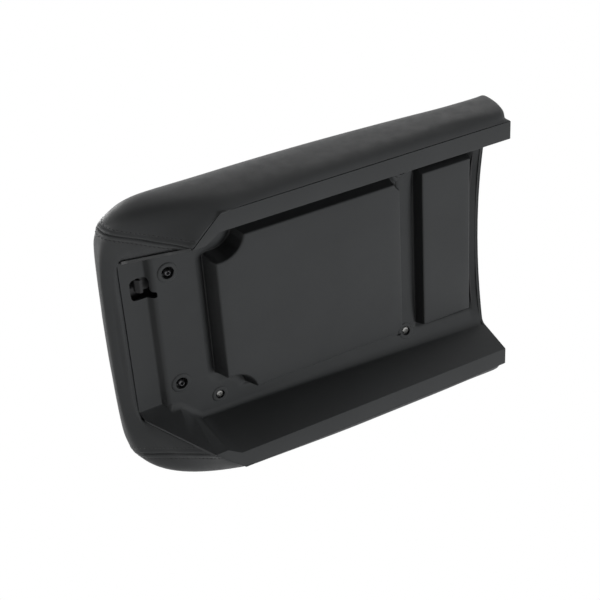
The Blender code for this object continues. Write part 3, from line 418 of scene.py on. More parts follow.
def large_outline(grow, side_grow, corner_round):
    """Right half of the large panel's outline, front to rear, set outwards."""
    centre = (LARGE_HALF + NOTCH_OUT, LARGE_FRONT + 0.0038)
    rear_centre = (LARGE_HALF + NOTCH_OUT, LARGE_REAR + 0.0082)
    half = LARGE_HALF + side_grow
    front = LARGE_FRONT - grow
    rear = LARGE_REAR + side_grow
    radius = FRONT_NOTCH - grow
    rear_radius = REAR_NOTCH - side_grow
    corner_angle = 180 - math.degrees(math.asin((LARGE_FRONT - centre[1]) / FRONT_NOTCH))
    corner = arc(centre, FRONT_NOTCH, corner_angle, corner_angle, 1)[0]
    line = [(0.0, front)] + arc(corner, corner_round, -90, corner_angle - 180, 6)
    start = corner_angle
    end = math.degrees(math.acos(max(-1.0, min(1.0, (half - centre[0]) / radius))))
    notch = arc(centre, radius, start, end, 12)
    line += notch[1:]
    rear_start = -math.degrees(math.acos((half - rear_centre[0]) / rear_radius))
    rear_end = -180 - math.degrees(math.asin((rear - rear_centre[1]) / rear_radius))
    line += arc(rear_centre, rear_radius, rear_start, rear_end, 8)
    line.append((0.0, rear))
    return line


def step_in(bm, rim, before, after):
    """Extrudes a closed line and puts each new vertex on its place in the next line."""
    made = bmesh.ops.extrude_edge_only(bm, edges=rim)["geom"]
    for vert in [item for item in made if isinstance(item, bmesh.types.BMVert)]:
        near = min(range(len(before)),
                   key=lambda index: (Vector(before[index]) - vert.co.xy).length)
        vert.co = after[near]
    return [item for item in made if isinstance(item, bmesh.types.BMEdge)]


def both_halves(right):
    """Closed loop from the right half of an outline whose ends lie on the middle line."""
    return right + [(-x, y) for x, y in right[-2:0:-1]]


def small_outline(grow):
    half, front, rear = SMALL_HALF + grow, SMALL_FRONT - grow, SMALL_REAR + grow
    across = [half * index / 6 for index in range(7)]
    along = [mix(front, rear, index / 4) for index in range(1, 4)]
    return [(x, front) for x in across] + [(half, y) for y in along] + [(x, rear)
                                                                        for x in reversed(across)]


def ridge_line():
    """Where the ledge turns down into the walls and cheeks, from the hinge end to the step."""
    return [(RIDGE_HALF, LINER_REAR), (RIDGE_HALF, -0.1105), (RIDGE_HALF, -0.1216),
            (0.0960, -0.1316),
            (0.0847, -0.1432), (0.0840, STEP_TOP)]


def inner_line():
    """The ledge's own edge, inside the strip that rounds over into the ridge."""
    return [(0.0990, LINER_REAR), (0.0990, -0.1105), (0.0990, -0.1190), (0.0913, -0.1271),
            (0.0783, -0.1407),
            (0.0775, STEP_TOP + 0.0042)]


def cheek_point(y):
    """Point on the liner's slanting edge beside the nose."""
    share = (y - DIAGONAL_END[1]) / (CHEEK_END[1] - DIAGONAL_END[1])
    return (mix(DIAGONAL_END[0], CHEEK_END[0], share), y, CHEEK_HEIGHT * share)


def flat_liner(settings):
    """The liner's underside before it is bent, from ledge and panels out to the rims."""
    bm = bmesh.new()
    inner = inner_line()
    outline = [(-x, y) for x, y in reversed(inner)] + inner
    edge_verts, edge_edges = chain(bm, [(x, y, LEDGE_HEIGHT) for x, y in outline], True)
    lines = []
    for side, inside in ((1, edge_verts[len(inner):]), (-1, edge_verts[:len(inner)][::-1])):
        outside = chain(bm, [(side * x, y, LEDGE_HEIGHT) for x, y in ridge_line()])[0]
        for index in range(len(inner) - 1):
            bm.faces.new((outside[index], outside[index + 1], inside[index + 1], inside[index]))
        lines.append(outside)
    bm.faces.new((lines[0][-1], lines[1][-1], edge_verts[0], edge_verts[-1]))

    def moat_height(x, y):
        fade = min(max((-0.060 - y) / 0.020, 0.0), 1.0)
        return LEDGE_HEIGHT + settings.groove_depth * fade + 0.85 * ledge_drop(x, y) + 0.0002

    holes = []
    width = settings.groove_width
    large = [large_outline(0.0052 + width, 0.0060, 0.0052 + width),
             large_outline(0.0048, 0.0026, 0.0048),
             large_outline(0.0, 0.0, 0.00002)]
    small = [small_outline(0.0062), small_outline(0.0026), small_outline(0.0)]
    for halves, top in ((large, LARGE_HEIGHT), (small, SMALL_HEIGHT)):
        moat, base, face = [both_halves(half) for half in halves]
        rim = chain(bm, [(x, y, LEDGE_HEIGHT) for x, y in moat], True)[1]
        holes += rim
        rim = step_in(bm, rim, moat, [(x, y, moat_height(x, y)) for x, y in base])
        rim = step_in(bm, rim, base, [(x, y, top) for x, y in face])
        edge = list({vert for item in rim for vert in item.verts})
        bmesh.ops.contextual_create(bm, geom=rim)
        bmesh.ops.remove_doubles(bm, verts=edge, dist=0.0001)

    for x, y, radius, recess, depth in boss_places():
        ring = bmesh.ops.create_circle(bm, segments=40, radius=radius + 0.0009,
                                       matrix=Matrix.Translation((x, y, LEDGE_HEIGHT)))["verts"]
        rim = list({edge for vert in ring for edge in vert.link_edges})
        holes += rim
        proud = LEDGE_HEIGHT - settings.boss_height
        sizes = ((radius + 0.0003, proud + 0.00030), (radius - 0.0002, proud),
                 (recess + 0.0004, proud),
                 (recess + 0.0001, proud + 0.0001), (recess, proud + 0.0004),
                 (recess, LEDGE_HEIGHT + depth),
                 (recess * 0.45, LEDGE_HEIGHT + depth),
                 (recess * 0.45, LEDGE_HEIGHT + depth + 0.0015))
        before = radius + 0.0009
        for size, height in sizes:
            made = bmesh.ops.extrude_edge_only(bm, edges=rim)["geom"]
            rim = [item for item in made if isinstance(item, bmesh.types.BMEdge)]
            for vert in [item for item in made if isinstance(item, bmesh.types.BMVert)]:
                vert.co = (x + (vert.co.x - x) * size / before,
                           y + (vert.co.y - y) * size / before, height)
            before = size
    bmesh.ops.triangle_fill(bm, use_beauty=True, edges=edge_edges + holes, normal=(0, 0, -1))

    front = [edge for edge in bm.edges
             if all(abs(vert.co.y - STEP_TOP) < 1e-6 for vert in edge.verts)]
    for target_half, target_y, target_z in ((STRIP_HALF, STEP_FOOT, STRIP_HEIGHT),
                                            (STRIP_HALF, CHEEK_END[1], STRIP_HEIGHT),
                                            (STRIP_HALF, STRIP_FRONT, STRIP_HEIGHT)):
        made = bmesh.ops.extrude_edge_only(bm, edges=front)["geom"]
        front = [item for item in made if isinstance(item, bmesh.types.BMEdge)]
        for vert in [item for item in made if isinstance(item, bmesh.types.BMVert)]:
            side = 1 if vert.co.x > 0 else -1
            vert.co = (side * target_half, target_y, target_z)
            lines[0 if side > 0 else 1].append(vert)

    for side, line in zip((1, -1), lines):
        foot = [(FOOT_HALF, LINER_REAR, 0), (FOOT_HALF, -0.1095, 0), (0.1083, -0.1232, 0),
                (*DIAGONAL_END, 0), cheek_point(-0.1480), cheek_point(STEP_TOP - 0.0015),
                cheek_point(STEP_FOOT),
                (*CHEEK_END, CHEEK_HEIGHT), (0.0824, STRIP_FRONT, 0.0608)]
        foot_verts = [bm.verts.new((side * x, y, z)) for x, y, z in foot]
        for index in range(len(line) - 1):
            bm.faces.new((line[index], line[index + 1], foot_verts[index + 1], foot_verts[index]))
        rim = [(RIM_HALF, LINER_REAR), (RIM_HALF, RIM_CORNER),
               (mix(RIM_HALF, DIAGONAL_END[0], 0.5), mix(RIM_CORNER, DIAGONAL_END[1], 0.5))]
        rim_verts = [bm.verts.new((side * x, y, 0)) for x, y in rim]
        bm.faces.new((foot_verts[0], foot_verts[1], rim_verts[1], rim_verts[0]))
        bm.faces.new((foot_verts[1], foot_verts[2], rim_verts[2], rim_verts[1]))
        bm.faces.new((foot_verts[2], foot_verts[3], rim_verts[2]))
    bmesh.ops.remove_doubles(bm, verts=bm.verts[:], dist=1e-5)
    bmesh.ops.recalc_face_normals(bm, faces=bm.faces[:])
    if sum(face.normal.z * face.calc_area() for face in bm.faces) > 0:
        bmesh.ops.reverse_faces(bm, faces=bm.faces[:])
    return bm


def boss_places():
    """(x, y, ring radius, recess radius, recess depth) of each screw boss."""
    places = [(x, y, 0.0074, 0.0046, 0.0020) for x, y in SCREW_PLACES]
    places += [(side * LATCH_SCREW_X, LATCH_SCREW_Y, 0.0092, 0.0060, 0.0048) for side in (-1, 1)]
    return places


def soften(bm, chosen, width, segments):
    if chosen:
        bmesh.ops.bevel(bm, geom=chosen, offset=width, offset_type="OFFSET", segments=segments,
                        profile=0.5,
                        affect="EDGES", clamp_overlap=True, material=-1)


def creases(bm, test, least=12):
    """Edges between faces that meet at more than least degrees and whose ends all pass a test."""
    limit = math.radians(least)
    return [edge for edge in bm.edges if len(edge.link_faces) == 2
            and edge.calc_face_angle(0.0) > limit
            and all(test(vert.co) for vert in edge.verts)]


def bend_liner(bm):
    """Bends the ledge down towards the hinge end, with the panels' faces kept flat."""
    for index in range(1, 24):
        y = mix(LARGE_FRONT, LINER_REAR, index / 24)
        cut_across(bm, (0, y, 0), (0, 1, 0))
    for y in (0.1815, 0.1835, 0.1855, 0.1875, 0.1895, 0.1915):
        cut_across(bm, (0, y, 0), (0, 1, 0))
    for x in (-0.098, -0.092, -0.0865, -0.070, -0.050, -0.030, -0.010, 0.010, 0.030, 0.050, 0.070,
              0.0865, 0.092,
              0.098):
        cut_across(bm, (x, 0, 0), (1, 0, 0))
    for vert in bm.verts:
        x, y, z = vert.co
        ledge = ledge_height(x, y)
        if abs(x) > 0.0970:
            vert.co.z = z * ledge / LEDGE_HEIGHT
        elif z >= LEDGE_HEIGHT:
            vert.co.z = z + ledge - LEDGE_HEIGHT
        elif z > LARGE_HEIGHT:
            vert.co.z = mix(LARGE_HEIGHT, ledge,
                            (z - LARGE_HEIGHT) / (LEDGE_HEIGHT - LARGE_HEIGHT))


def cut_across(bm, point, normal):
    bmesh.ops.bisect_plane(bm, geom=bm.verts[:] + bm.edges[:] + bm.faces[:], dist=1e-6,
                           plane_co=point,
                           plane_no=normal)


def end_wall():
    """Upright wall at the hinge end between the liner's arch and the cover."""
    bm = bmesh.new()
    half = [(x, ledge_height(x, LINER_REAR) + 0.0008)
            for x in (0.0, 0.02, 0.04, 0.06, 0.08, 0.095, 0.1025)]
    half += [(0.1072, 0.0340), (0.1190, 0.0008), (0.1346, 0.0008)]
    top = [(x, end_arch_height(x) - 0.0006)
           for x in (0.126, 0.105, 0.084, 0.063, 0.042, 0.021, 0.0)]
    right = half + [(0.1346, end_arch_height(0.126) * 0.36),
                    (0.1335, end_arch_height(0.126) * 0.78)] + top
    loop = right + [(-x, z) for x, z in right[-2:0:-1]]
    verts, edges = chain(bm, [(x, LINER_REAR - 0.0003, z) for x, z in loop], True)
    face = bmesh.ops.contextual_create(bm, geom=edges)["faces"]
    grown = bmesh.ops.extrude_face_region(bm, geom=face)["geom"]
    bmesh.ops.translate(bm, vec=(0, -0.0025, 0),
                        verts=[item for item in grown if isinstance(item, bmesh.types.BMVert)])
    bmesh.ops.recalc_face_normals(bm, faces=bm.faces[:])
    return bm


SLOT_OUTLINE = [(0.0383, -0.1710), (0.0415, -0.1723), (0.0495, -0.1726), (0.0560, -0.1721),
                (0.0584, -0.1700),
                (0.0594, -0.1649), (0.0593, -0.1594), (0.0579, -0.1562), (0.0545, -0.1551),
                (0.0455, -0.1551),
                (0.0442, -0.1542), (0.0438, -0.1510), (0.0422, -0.1498), (0.0391, -0.1498),
                (0.0379, -0.1508),
                (0.0375, -0.1554), (0.0372, -0.1634), (0.0374, -0.1689)]


def in_slot(spot):
    """Whether a point in plan lies inside the latch slot's outline."""
    inside = False
    for before, after in zip(SLOT_OUTLINE, SLOT_OUTLINE[1:] + SLOT_OUTLINE[:1]):
        if (before[1] > spot.y) != (after[1] > spot.y):
            share = (spot.y - before[1]) / (after[1] - before[1])
            if spot.x < mix(before[0], after[0], share):
                inside = not inside
    return inside


def open_slot(bm):
    """Cuts the rough-edged opening for the striker through the strip and into the step."""
    low, high = Vector((0.0360, -0.1744)), Vector((0.0610, -0.1490))

    def around():
        faces = [face for face in bm.faces
                 if low.x - 1e-5 < face.calc_center_median().x < high.x + 1e-5
                 and low.y - 1e-5 < face.calc_center_median().y < high.y + 1e-5]
        return list({item for face in faces for item in (*face.verts, *face.edges)}) + faces

    for point, normal in (((low.x, 0, 0), (1, 0, 0)), ((high.x, 0, 0), (1, 0, 0)),
                          ((0, low.y, 0), (0, 1, 0)),
                          ((0, high.y, 0), (0, 1, 0))):
        cut_across(bm, point, normal)
    for before, after in zip(SLOT_OUTLINE, SLOT_OUTLINE[1:] + SLOT_OUTLINE[:1]):
        bmesh.ops.bisect_plane(bm, geom=around(), dist=1e-7, plane_co=(*before, 0),
                               plane_no=(after[1] - before[1], before[0] - after[0], 0))
    gone = [face for face in bm.faces if in_slot(face.calc_center_median())]
    bmesh.ops.delete(bm, geom=gone, context="FACES")


class LID_OT_liner(bpy.types.Operator):
    """Models the moulded liner with its ledge, panels, screw bosses, walls, rims and latch slot"""
    bl_idname = "console_lid.liner"
    bl_label = "Moulded liner"

    def execute(self, context):
        settings = context.scene.lid_liner
        bm = flat_liner(settings)

        def near_ridge(co):
            return (abs(co.z - LEDGE_HEIGHT) < 1e-4 and co.y > STEP_TOP - 1e-4
                    and (abs(co.x) > 0.0838 and (abs(co.x) > 0.1050 or co.y < -0.1210)))

        soften(bm,
               [edge for edge in creases(bm, near_ridge)
                if edge.verts[0].co.x * edge.verts[1].co.x > 0],
               settings.ridge_round, 5)

        def on_panel(co):
            return min(abs(co.z - LARGE_HEIGHT),
                       abs(co.z - SMALL_HEIGHT)) < 1e-4 and abs(co.x) < 0.090

        soften(bm, creases(bm, on_panel), settings.panel_round, 4)

        def in_floor(co):
            return (abs(co.x) < 0.0960 and co.z > LEDGE_HEIGHT - 1e-4 and co.z < 0.0700
                    and co.y > -0.1120 and co.y < 0.19)

        def on_moat(edge):
            heights = [vert.co.z - LEDGE_HEIGHT for vert in edge.verts]
            return off_bosses(edge) and (max(heights) < 1e-5 or min(heights) > 1e-4)

        soften(bm, [edge for edge in creases(bm, in_floor, 6) if on_moat(edge)], 0.0016, 3)

        def on_step(co):
            return co.y < STEP_TOP + 1e-4 and abs(co.x) < 0.0841 and co.z > 0.0570

        soften(bm, creases(bm, lambda co: on_step(co) and co.z < 0.0590), 0.0036, 5)
        soften(bm, creases(bm, lambda co: on_step(co) and co.z > 0.0640), 0.0012, 3)

        def at_foot(co):
            return abs(co.z) < 1e-5 and (abs(abs(co.x) - FOOT_HALF) < 1e-4
                                         or (abs(co.x) < 0.1175 and co.y < -0.109))

        soften(bm, creases(bm, at_foot), 0.0006, 2)
        open_slot(bm)
        bend_liner(bm)
        liner = add_piece("moulded_liner", bm, moulded_plastic("moulded_plastic", settings.colour,
                                                               settings.roughness),
                          sharp=40)
        wall = liner.modifiers.new("wall", "SOLIDIFY")
        wall.thickness = WALL
        wall.offset = -1.0
        wall.use_even_offset = False
        bake_modifiers(liner)
        liner.data.shade_smooth()
        liner.data.set_sharp_from_angle(angle=math.radians(32))
        end = add_piece("liner_end_wall", end_wall(), liner.data.materials[0],
                        sharp=30)
        soft = end.modifiers.new("edges", "BEVEL")
        soft.width = 0.0004
        soft.segments = 2
        soft.limit_method = "ANGLE"
        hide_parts("liner")
        return {"FINISHED"}


def off_bosses(edge):
    middle = (edge.verts[0].co + edge.verts[1].co) / 2
    return all((middle.xy - Vector((x, y))).length > radius + 0.0020
               for x, y, radius, recess, depth in boss_places())


# Leather cover

def cover_stations():
    """Right half of the way round: (region, place, hem point, outward direction, bulge height)."""
    corner = ARCH_HALF
    rows = []
    for index in range(17):
        x = corner * index / 16
        rows.append(("rear", index / 16, (x, LINER_REAR - 0.0005, end_arch_height(x) + 0.0012),
                     (0, 1),
                     mix(0.064, 0.050, (index / 16) ** 2)))
    base = end_arch_height(corner) + 0.0012
    for index in range(1, 9):
        share = index / 8
        turn = math.sin(share * math.pi / 2)
        rows.append(("rear corner", 90 * share,
                     (mix(corner, RIM_HALF + 0.0006, turn), LINER_REAR - 0.0005,
                      mix(base, 0.0003, share ** 1.15)), (1, 0), mix(0.050, 0.033, share)))
    for index in range(1, 53):
        share = index / 52
        y = mix(LINER_REAR, RIM_CORNER, share)
        rows.append(("side", share, (RIM_HALF + 0.0006, y, 0.0003), (1, 0),
                     0.026 + 0.004 * max(0.0, 1 - share * 7)
                     if share > 0.14 else mix(0.033, 0.026, share / 0.14)))
    across = Vector((0.0290, -0.0265)).normalized()
    for index in range(1, 7):
        share = index / 7
        rows.append(("diagonal", share,
                     (mix(RIM_HALF, DIAGONAL_END[0], share) + across.x * 0.0006,
                      mix(RIM_CORNER, DIAGONAL_END[1], share) + across.y * 0.0006, 0.0003),
                     tuple(across), mix(0.026, 0.032, share)))
    for index in range(17):
        share = index / 16
        angle = 84 * share
        point = Vector(cheek_point(mix(DIAGONAL_END[1], CHEEK_END[1], share)))
        tuck = min(share / 0.16, 1.0)
        point += Vector((across.x * 0.0006, across.y * 0.0006,
                         0.0004)).lerp(Vector((0.0014, -0.0002, 0.0034)), tuck)
        rows.append(("nose corner", angle, tuple(point), tuple(across), mix(0.032, 0.062, share)))
    tucked = Vector(rows[-1][2])
    last = Vector((0.0805, STRIP_FRONT - 0.0002, STRIP_HEIGHT + 0.0010))
    for index in range(1, 4):
        share = index / 3
        turn = math.sin(share * math.pi / 2)
        place = Vector((mix(tucked.x, last.x, share ** 2), mix(tucked.y, last.y, turn),
                        mix(tucked.z, last.z, turn)))
        rows.append(("nose corner", mix(84, 90, share), tuple(place), (0, -1),
                     mix(0.062, 0.067, share)))
    for index in range(1, 13):
        share = 1 - index / 12
        rows.append(("nose", share, (last.x * share, last.y, last.z), (0, -1),
                     mix(0.072, 0.067, share ** 3)))
    return rows


def cover_plan(region, place, across, front_in, rear_in):
    """Point of the cover's plan outline, pulled in by three insets."""
    half = max(LID_HALF - across, 0.0)
    front = NOSE + front_in
    rear = HINGE_END - rear_in
    radius = min(0.0045 + 0.4 * across, half)
    corner_across = min(max(0.0430 - 0.4 * across, 0.0), half)
    along = max(0.0490 - 0.4 * front_in, 0.0)
    if region == "rear":
        return Vector(((half - radius) * place, rear))
    if region == "rear corner":
        angle = math.radians(place)
        return Vector((half - radius + radius * math.sin(angle),
                       rear - radius + radius * math.cos(angle)))
    side_rear = rear - radius
    side_front = front + along
    if region == "side":
        return Vector((half, mix(side_rear, side_front, place * 0.86)))
    if region == "diagonal":
        return Vector((half, mix(side_rear, side_front, mix(0.86, 1.0, place))))
    if region == "nose corner":
        angle = math.radians(place)
        power = 2 / 2.2
        return Vector((half - corner_across + corner_across * max(math.cos(angle), 0.0) ** power,
                       side_front - along * math.sin(angle) ** power))
    return Vector(((half - corner_across) * place, front))


LOW_LEVELS = 18
HIGH_LEVELS = 22
SPINE_LEVELS = 16


def cover_edge(region, place):
    """Angle at which the leather leaves its hem, in degrees, and how far it rolls below it."""
    if region == "side":
        return mix(1.0, 26.0, max(0.0, place - 0.6) / 0.4), 0.0
    if region == "diagonal":
        return mix(26.0, 32.0, place), 0.0
    if region == "nose corner":
        share = place / 90
        return mix(32.0, 2.0, share * share), 0.0028 * share
    if region == "nose":
        return 2.0, 0.0028
    return 1.0, 0.0


def cover_point(station, level):
    """Point of the cover at one level, from the hem over the bulge to the middle line."""
    region, place, hem, outward, bulge = station
    hem = Vector(hem)
    equator = cover_plan(region, place, 0, 0, 0)
    height = min(max(bulge, hem.z + 0.002), crown_height(*equator) - 0.003)
    if level < LOW_LEVELS:
        rise, roll = cover_edge(region, place)
        share = level / LOW_LEVELS
        angle = mix(rise, 90.0, share ** 1.3)
        low, high = math.sin(math.radians(rise)), math.cos(math.radians(rise))
        out = (math.sin(math.radians(angle)) - low) / (1 - low)
        left = math.cos(math.radians(angle)) / high
        full = 0.66 if region in ("side", "rear", "rear corner") else 0.86
        if region == "side":
            full = mix(0.66, 0.86, max(0.0, place - 0.7) / 0.3)
        plan = hem.xy.lerp(equator, out ** full)
        dip = roll * math.sin(math.pi * min(share / 0.4, 1.0)) ** 2
        return Vector((*plan, height - (height - hem.z) * max(left, 0.0) ** full - dip))
    level -= LOW_LEVELS
    if level < HIGH_LEVELS:
        angle = (level / HIGH_LEVELS) * math.pi / 2
        share = math.sin(angle)
        pull = 1 - max(1 - share ** 2.6, 0.0) ** (1 / 2.6)
        plan = cover_plan(region, place, 0.046 * pull, 0.048 * pull, 0.012 * pull)
        return Vector((*plan, mix(height, crown_height(*plan), share)))
    share = (level - HIGH_LEVELS) / SPINE_LEVELS
    plan = cover_plan(region, place, mix(0.046, LID_HALF, share), mix(0.048, 0.130, share),
                      mix(0.012, 0.110, share))
    return Vector((*plan, crown_height(*plan)))


def cover_skin():
    """The cover's outside as one skin, from a grid wrapped round the lid and closed on top."""
    right = cover_stations()
    mirrored = [((region, place, (-hem[0], hem[1], hem[2]), outward, bulge), -1)
                for region, place, hem, outward, bulge in reversed(right[1:-1])]
    columns = [(station, 1) for station in right] + mirrored
    levels = LOW_LEVELS + HIGH_LEVELS + SPINE_LEVELS
    bm = bmesh.new()
    bmesh.ops.create_grid(bm, x_segments=len(columns), y_segments=levels, size=0.5)
    bm.verts.ensure_lookup_table()
    rings = {}
    for vert in bm.verts:
        across = round((vert.co.x + 0.5) * len(columns)) % len(columns)
        level = round((vert.co.y + 0.5) * levels)
        station, side = columns[across]
        if side < 0:
            region, place, hem, outward, bulge = station
            station = (region, place, (-hem[0], hem[1], hem[2]), outward, bulge)
        point = cover_point(station, level)
        vert.co = (point.x * side, point.y, point.z)
        rings.setdefault(level, {})[across] = vert
    ease_nose(rings, len(columns))
    bmesh.ops.remove_doubles(bm, verts=bm.verts[:], dist=2e-5)
    bmesh.ops.dissolve_degenerate(bm, edges=bm.edges[:], dist=1e-5)
    bmesh.ops.recalc_face_normals(bm, faces=bm.faces[:])
    if sum(face.normal.z * face.calc_area() for face in bm.faces) < 0:
        bmesh.ops.reverse_faces(bm, faces=bm.faces[:])
    return bm


def ease_nose(rings, count):
    """Smooths the skin round the nose along each ring, more so away from the hem."""
    for level, ring in rings.items():
        if not 0 < level < LOW_LEVELS + 6:
            continue
        spots = [ring[across].co.copy() for across in range(count)]
        loose = [min(max((-0.108 - spot.y) / 0.034, 0.0), 1.0) ** 1.5 for spot in spots]
        pull = min((level / 6) ** 1.5, 1.0, (LOW_LEVELS + 6 - level) / 8)
        for turn in range(60):
            spots = [spot.lerp((spots[across - 1] + spots[(across + 1) % count]) / 2,
                               0.5 * pull * loose[across])
                     for across, spot in enumerate(spots)]
        for across, spot in enumerate(spots):
            ring[across].co = spot


def seam_offset(co, half):
    """Signed distance outwards from the slanting plane of the nearer seam."""
    return (abs(co.x) - half - SEAM_LEAN * co.z) / math.sqrt(1 + SEAM_LEAN * SEAM_LEAN)


def swollen(bm, settings):
    """Lets the padding push the skin out between its seams and hem with a cloth simulation."""
    mesh = bpy.data.meshes.new("pad_cloth")
    bm.to_mesh(mesh)
    pad = bpy.data.objects.new("pad_cloth", mesh)
    bpy.context.scene.collection.objects.link(pad)
    held = pad.vertex_groups.new(name="held")
    start = [vert.co.copy() for vert in mesh.vertices]
    hems = {vert.index for edge in bm.edges if edge.is_boundary for vert in edge.verts}
    for vert in mesh.vertices:
        seam = abs(seam_offset(vert.co, settings.seam_half))
        grip = 1.0 if vert.index in hems or abs(vert.co.x) < 0.03 and vert.co.z > 0.085 else 0.0
        grip = max(grip, 1.0 if seam < 0.0030 else 0.0)
        held.add([vert.index], grip, "REPLACE")
    cloth = pad.modifiers.new("cloth", "CLOTH")
    cloth.settings.quality = 6
    cloth.settings.mass = 0.3
    cloth.settings.tension_stiffness = 22
    cloth.settings.compression_stiffness = 22
    cloth.settings.shear_stiffness = 10
    cloth.settings.bending_stiffness = 1.5
    cloth.settings.use_pressure = True
    cloth.settings.uniform_pressure_force = 4.0
    cloth.settings.vertex_group_mass = "held"
    cloth.settings.effector_weights.gravity = 0
    cloth.collision_settings.use_collision = False
    scene = bpy.context.scene
    cloth.point_cache.frame_start = 1
    cloth.point_cache.frame_end = settings.steps
    for step in range(1, settings.steps + 1):
        scene.frame_set(step)
    bake_modifiers(pad)
    scene.frame_set(1)
    for vert, before, after in zip(bm.verts, start, pad.data.vertices):
        move = after.co - before
        far = move.length
        if far > 1e-9:
            vert.co = before + move * (settings.swell * (1 - math.exp(-far / settings.swell))
                                       / far)
    free = [vert for vert in bm.verts if vert.index not in hems and abs(vert.co.x) > 0.03
            and abs(seam_offset(vert.co, settings.seam_half)) > 0.0030]
    for turn in range(10):
        bmesh.ops.smooth_vert(bm, verts=free, factor=0.5, use_axis_x=True, use_axis_y=True,
                              use_axis_z=True)
    old = pad.data
    bpy.data.objects.remove(pad)
    bpy.data.meshes.remove(old)


def seam_profile(distance, depth):
    """How far the leather stands in or out beside a seam, in metres."""
    groove = -depth * math.exp(-(distance / 0.00075) ** 2)
    lip = 0.00035 * math.exp(-((abs(distance) - 0.0024) / 0.0018) ** 2)
    row = -0.00022 * math.exp(-((abs(distance) - 0.0050) / 0.0009) ** 2)
    return groove + lip + row


def cut_seams(bm, settings):
    """Adds fine rows of vertices beside each seam and sinks the seam between its lips."""
    steps = (-0.0085, -0.0068, -0.0058, -0.0050, -0.0042, -0.0034, -0.0026, -0.0018, -0.0012,
             -0.0007, -0.0003,
             0.0, 0.0003, 0.0007, 0.0012, 0.0018, 0.0026, 0.0034, 0.0042, 0.0050, 0.0058, 0.0068,
             0.0085)
    for side in (-1, 1):
        normal = Vector((side, 0, -SEAM_LEAN)).normalized()
        for step in steps:
            point = Vector((side * settings.seam_half, 0, 0)) + normal * step
            near = [face for face in bm.faces
                    if any(abs(seam_offset(vert.co, settings.seam_half)) < 0.016
                           for vert in face.verts)]
            geom = list({item for face in near for item in (*face.verts, *face.edges)}) + near
            bmesh.ops.bisect_plane(bm, geom=geom, dist=1e-6, plane_co=point, plane_no=normal)
    bm.normal_update()
    moves = []
    for vert in bm.verts:
        distance = seam_offset(vert.co, settings.seam_half)
        if abs(distance) < 0.012:
            moves.append((vert, vert.normal * seam_profile(distance, settings.seam_depth)))
    for vert, move in moves:
        vert.co += move


class LID_OT_cover(bpy.types.Operator):
    """Models the leather cover, lets the padding swell it and sinks its two seams"""
    bl_idname = "console_lid.cover"
    bl_label = "Leather cover"

    def execute(self, context):
        settings = context.scene.lid_cover
        bm = cover_skin()
        swollen(bm, settings)
        cut_seams(bm, settings)
        rows = stitch_rows(bm, settings, context.scene.lid_stitches)
        leather = grained_leather("grained_leather", settings.colour, settings.roughness)
        cover = add_piece("leather_cover", bm, leather)
        wall = cover.modifiers.new("wall", "SOLIDIFY")
        wall.thickness = settings.thickness
        wall.offset = -1.0
        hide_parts("cover_centre", "cover_side_left", "cover_side_right", "foam_pad")
        thread = twisted_thread("sewing_thread", context.scene.lid_stitches.colour)
        add_piece("seam_stitches", stitched(rows, context.scene.lid_stitches), thread)
        return {"FINISHED"}


def stitch_rows(bm, cover, stitches):
    """Lines of points and normals over the leather, one each side of each seam."""
    rows = []
    for side in (-1, 1):
        for offset in (-stitches.offset, stitches.offset):
            line = [vert for vert in bm.verts if vert.co.x * side > 0
                    and abs(seam_offset(vert.co, cover.seam_half) - offset) < 0.00045]
            found = set(line)
            edges = {vert: [edge.other_vert(vert) for edge in vert.link_edges
                            if edge.other_vert(vert) in found]
                     for vert in line}
            ends = [vert for vert in line if len(edges[vert]) == 1]
            if not ends:
                raise RuntimeError("a stitch line has no end on the hem")
            start = min(ends, key=lambda vert: vert.co.y)
            walk, seen = [start], {start}
            while True:
                after = [vert for vert in edges[walk[-1]] if vert not in seen]
                if not after:
                    break
                walk.append(after[0])
                seen.add(after[0])
            rows.append([(vert.co.copy(), vert.normal.copy()) for vert in walk])
    return rows


def one_stitch(settings):
    """Template thread: a short bar whose ends are sunk into the leather."""
    bm = bmesh.new()
    bmesh.ops.create_circle(bm, segments=8, radius=settings.radius, cap_ends=True,
                            matrix=Matrix.Translation((0, -settings.length / 2, 0))
                            @ Matrix.Rotation(math.pi / 2, 4, "X"))
    for step in range(4):
        ends = [face for face in bm.faces
                if all(vert.co.y > settings.length * (step / 4 - 0.5) - 1e-7
                       for vert in face.verts)]
        grown = bmesh.ops.extrude_face_region(bm, geom=ends)["geom"]
        if step:
            bmesh.ops.delete(bm, geom=ends, context="FACES")
        moved = [item for item in grown if isinstance(item, bmesh.types.BMVert)]
        bmesh.ops.translate(bm, vec=(0, settings.length / 4, 0), verts=moved)
    for vert in bm.verts:
        share = abs(vert.co.y) / (settings.length / 2)
        vert.co.z += settings.radius * (0.35 - 1.6 * share ** 3)
        vert.co.y *= 1 - 0.06 * share ** 4
    bmesh.ops.recalc_face_normals(bm, faces=bm.faces[:])
    mesh = bpy.data.meshes.new("one_stitch")
    bm.to_mesh(mesh)
    bm.free()
    return mesh


def stitched(rows, settings):
    """Short threads that dip into the leather at both ends, one after another along each row."""
    bm = bmesh.new()
    template = one_stitch(settings)
    for row in rows:
        travelled = 0.0
        target = 0.004
        for (here, normal), (there, after) in zip(row, row[1:]):
            length = (there - here).length
            while length > 1e-9 and target <= travelled + length:
                share = (target - travelled) / length
                place = here.lerp(there, share)
                up = normal.lerp(after, share).normalized()
                side = (there - here).cross(up).normalized()
                turn = Matrix((side, up.cross(side).normalized(), up)).transposed().to_4x4()
                count = len(bm.verts)
                bm.from_mesh(template)
                bm.verts.ensure_lookup_table()
                bmesh.ops.transform(bm, matrix=Matrix.Translation(place) @ turn,
                                    verts=bm.verts[count:])
                target += settings.spacing
            travelled += length
    bpy.data.meshes.remove(template)
    return bm


# Screws

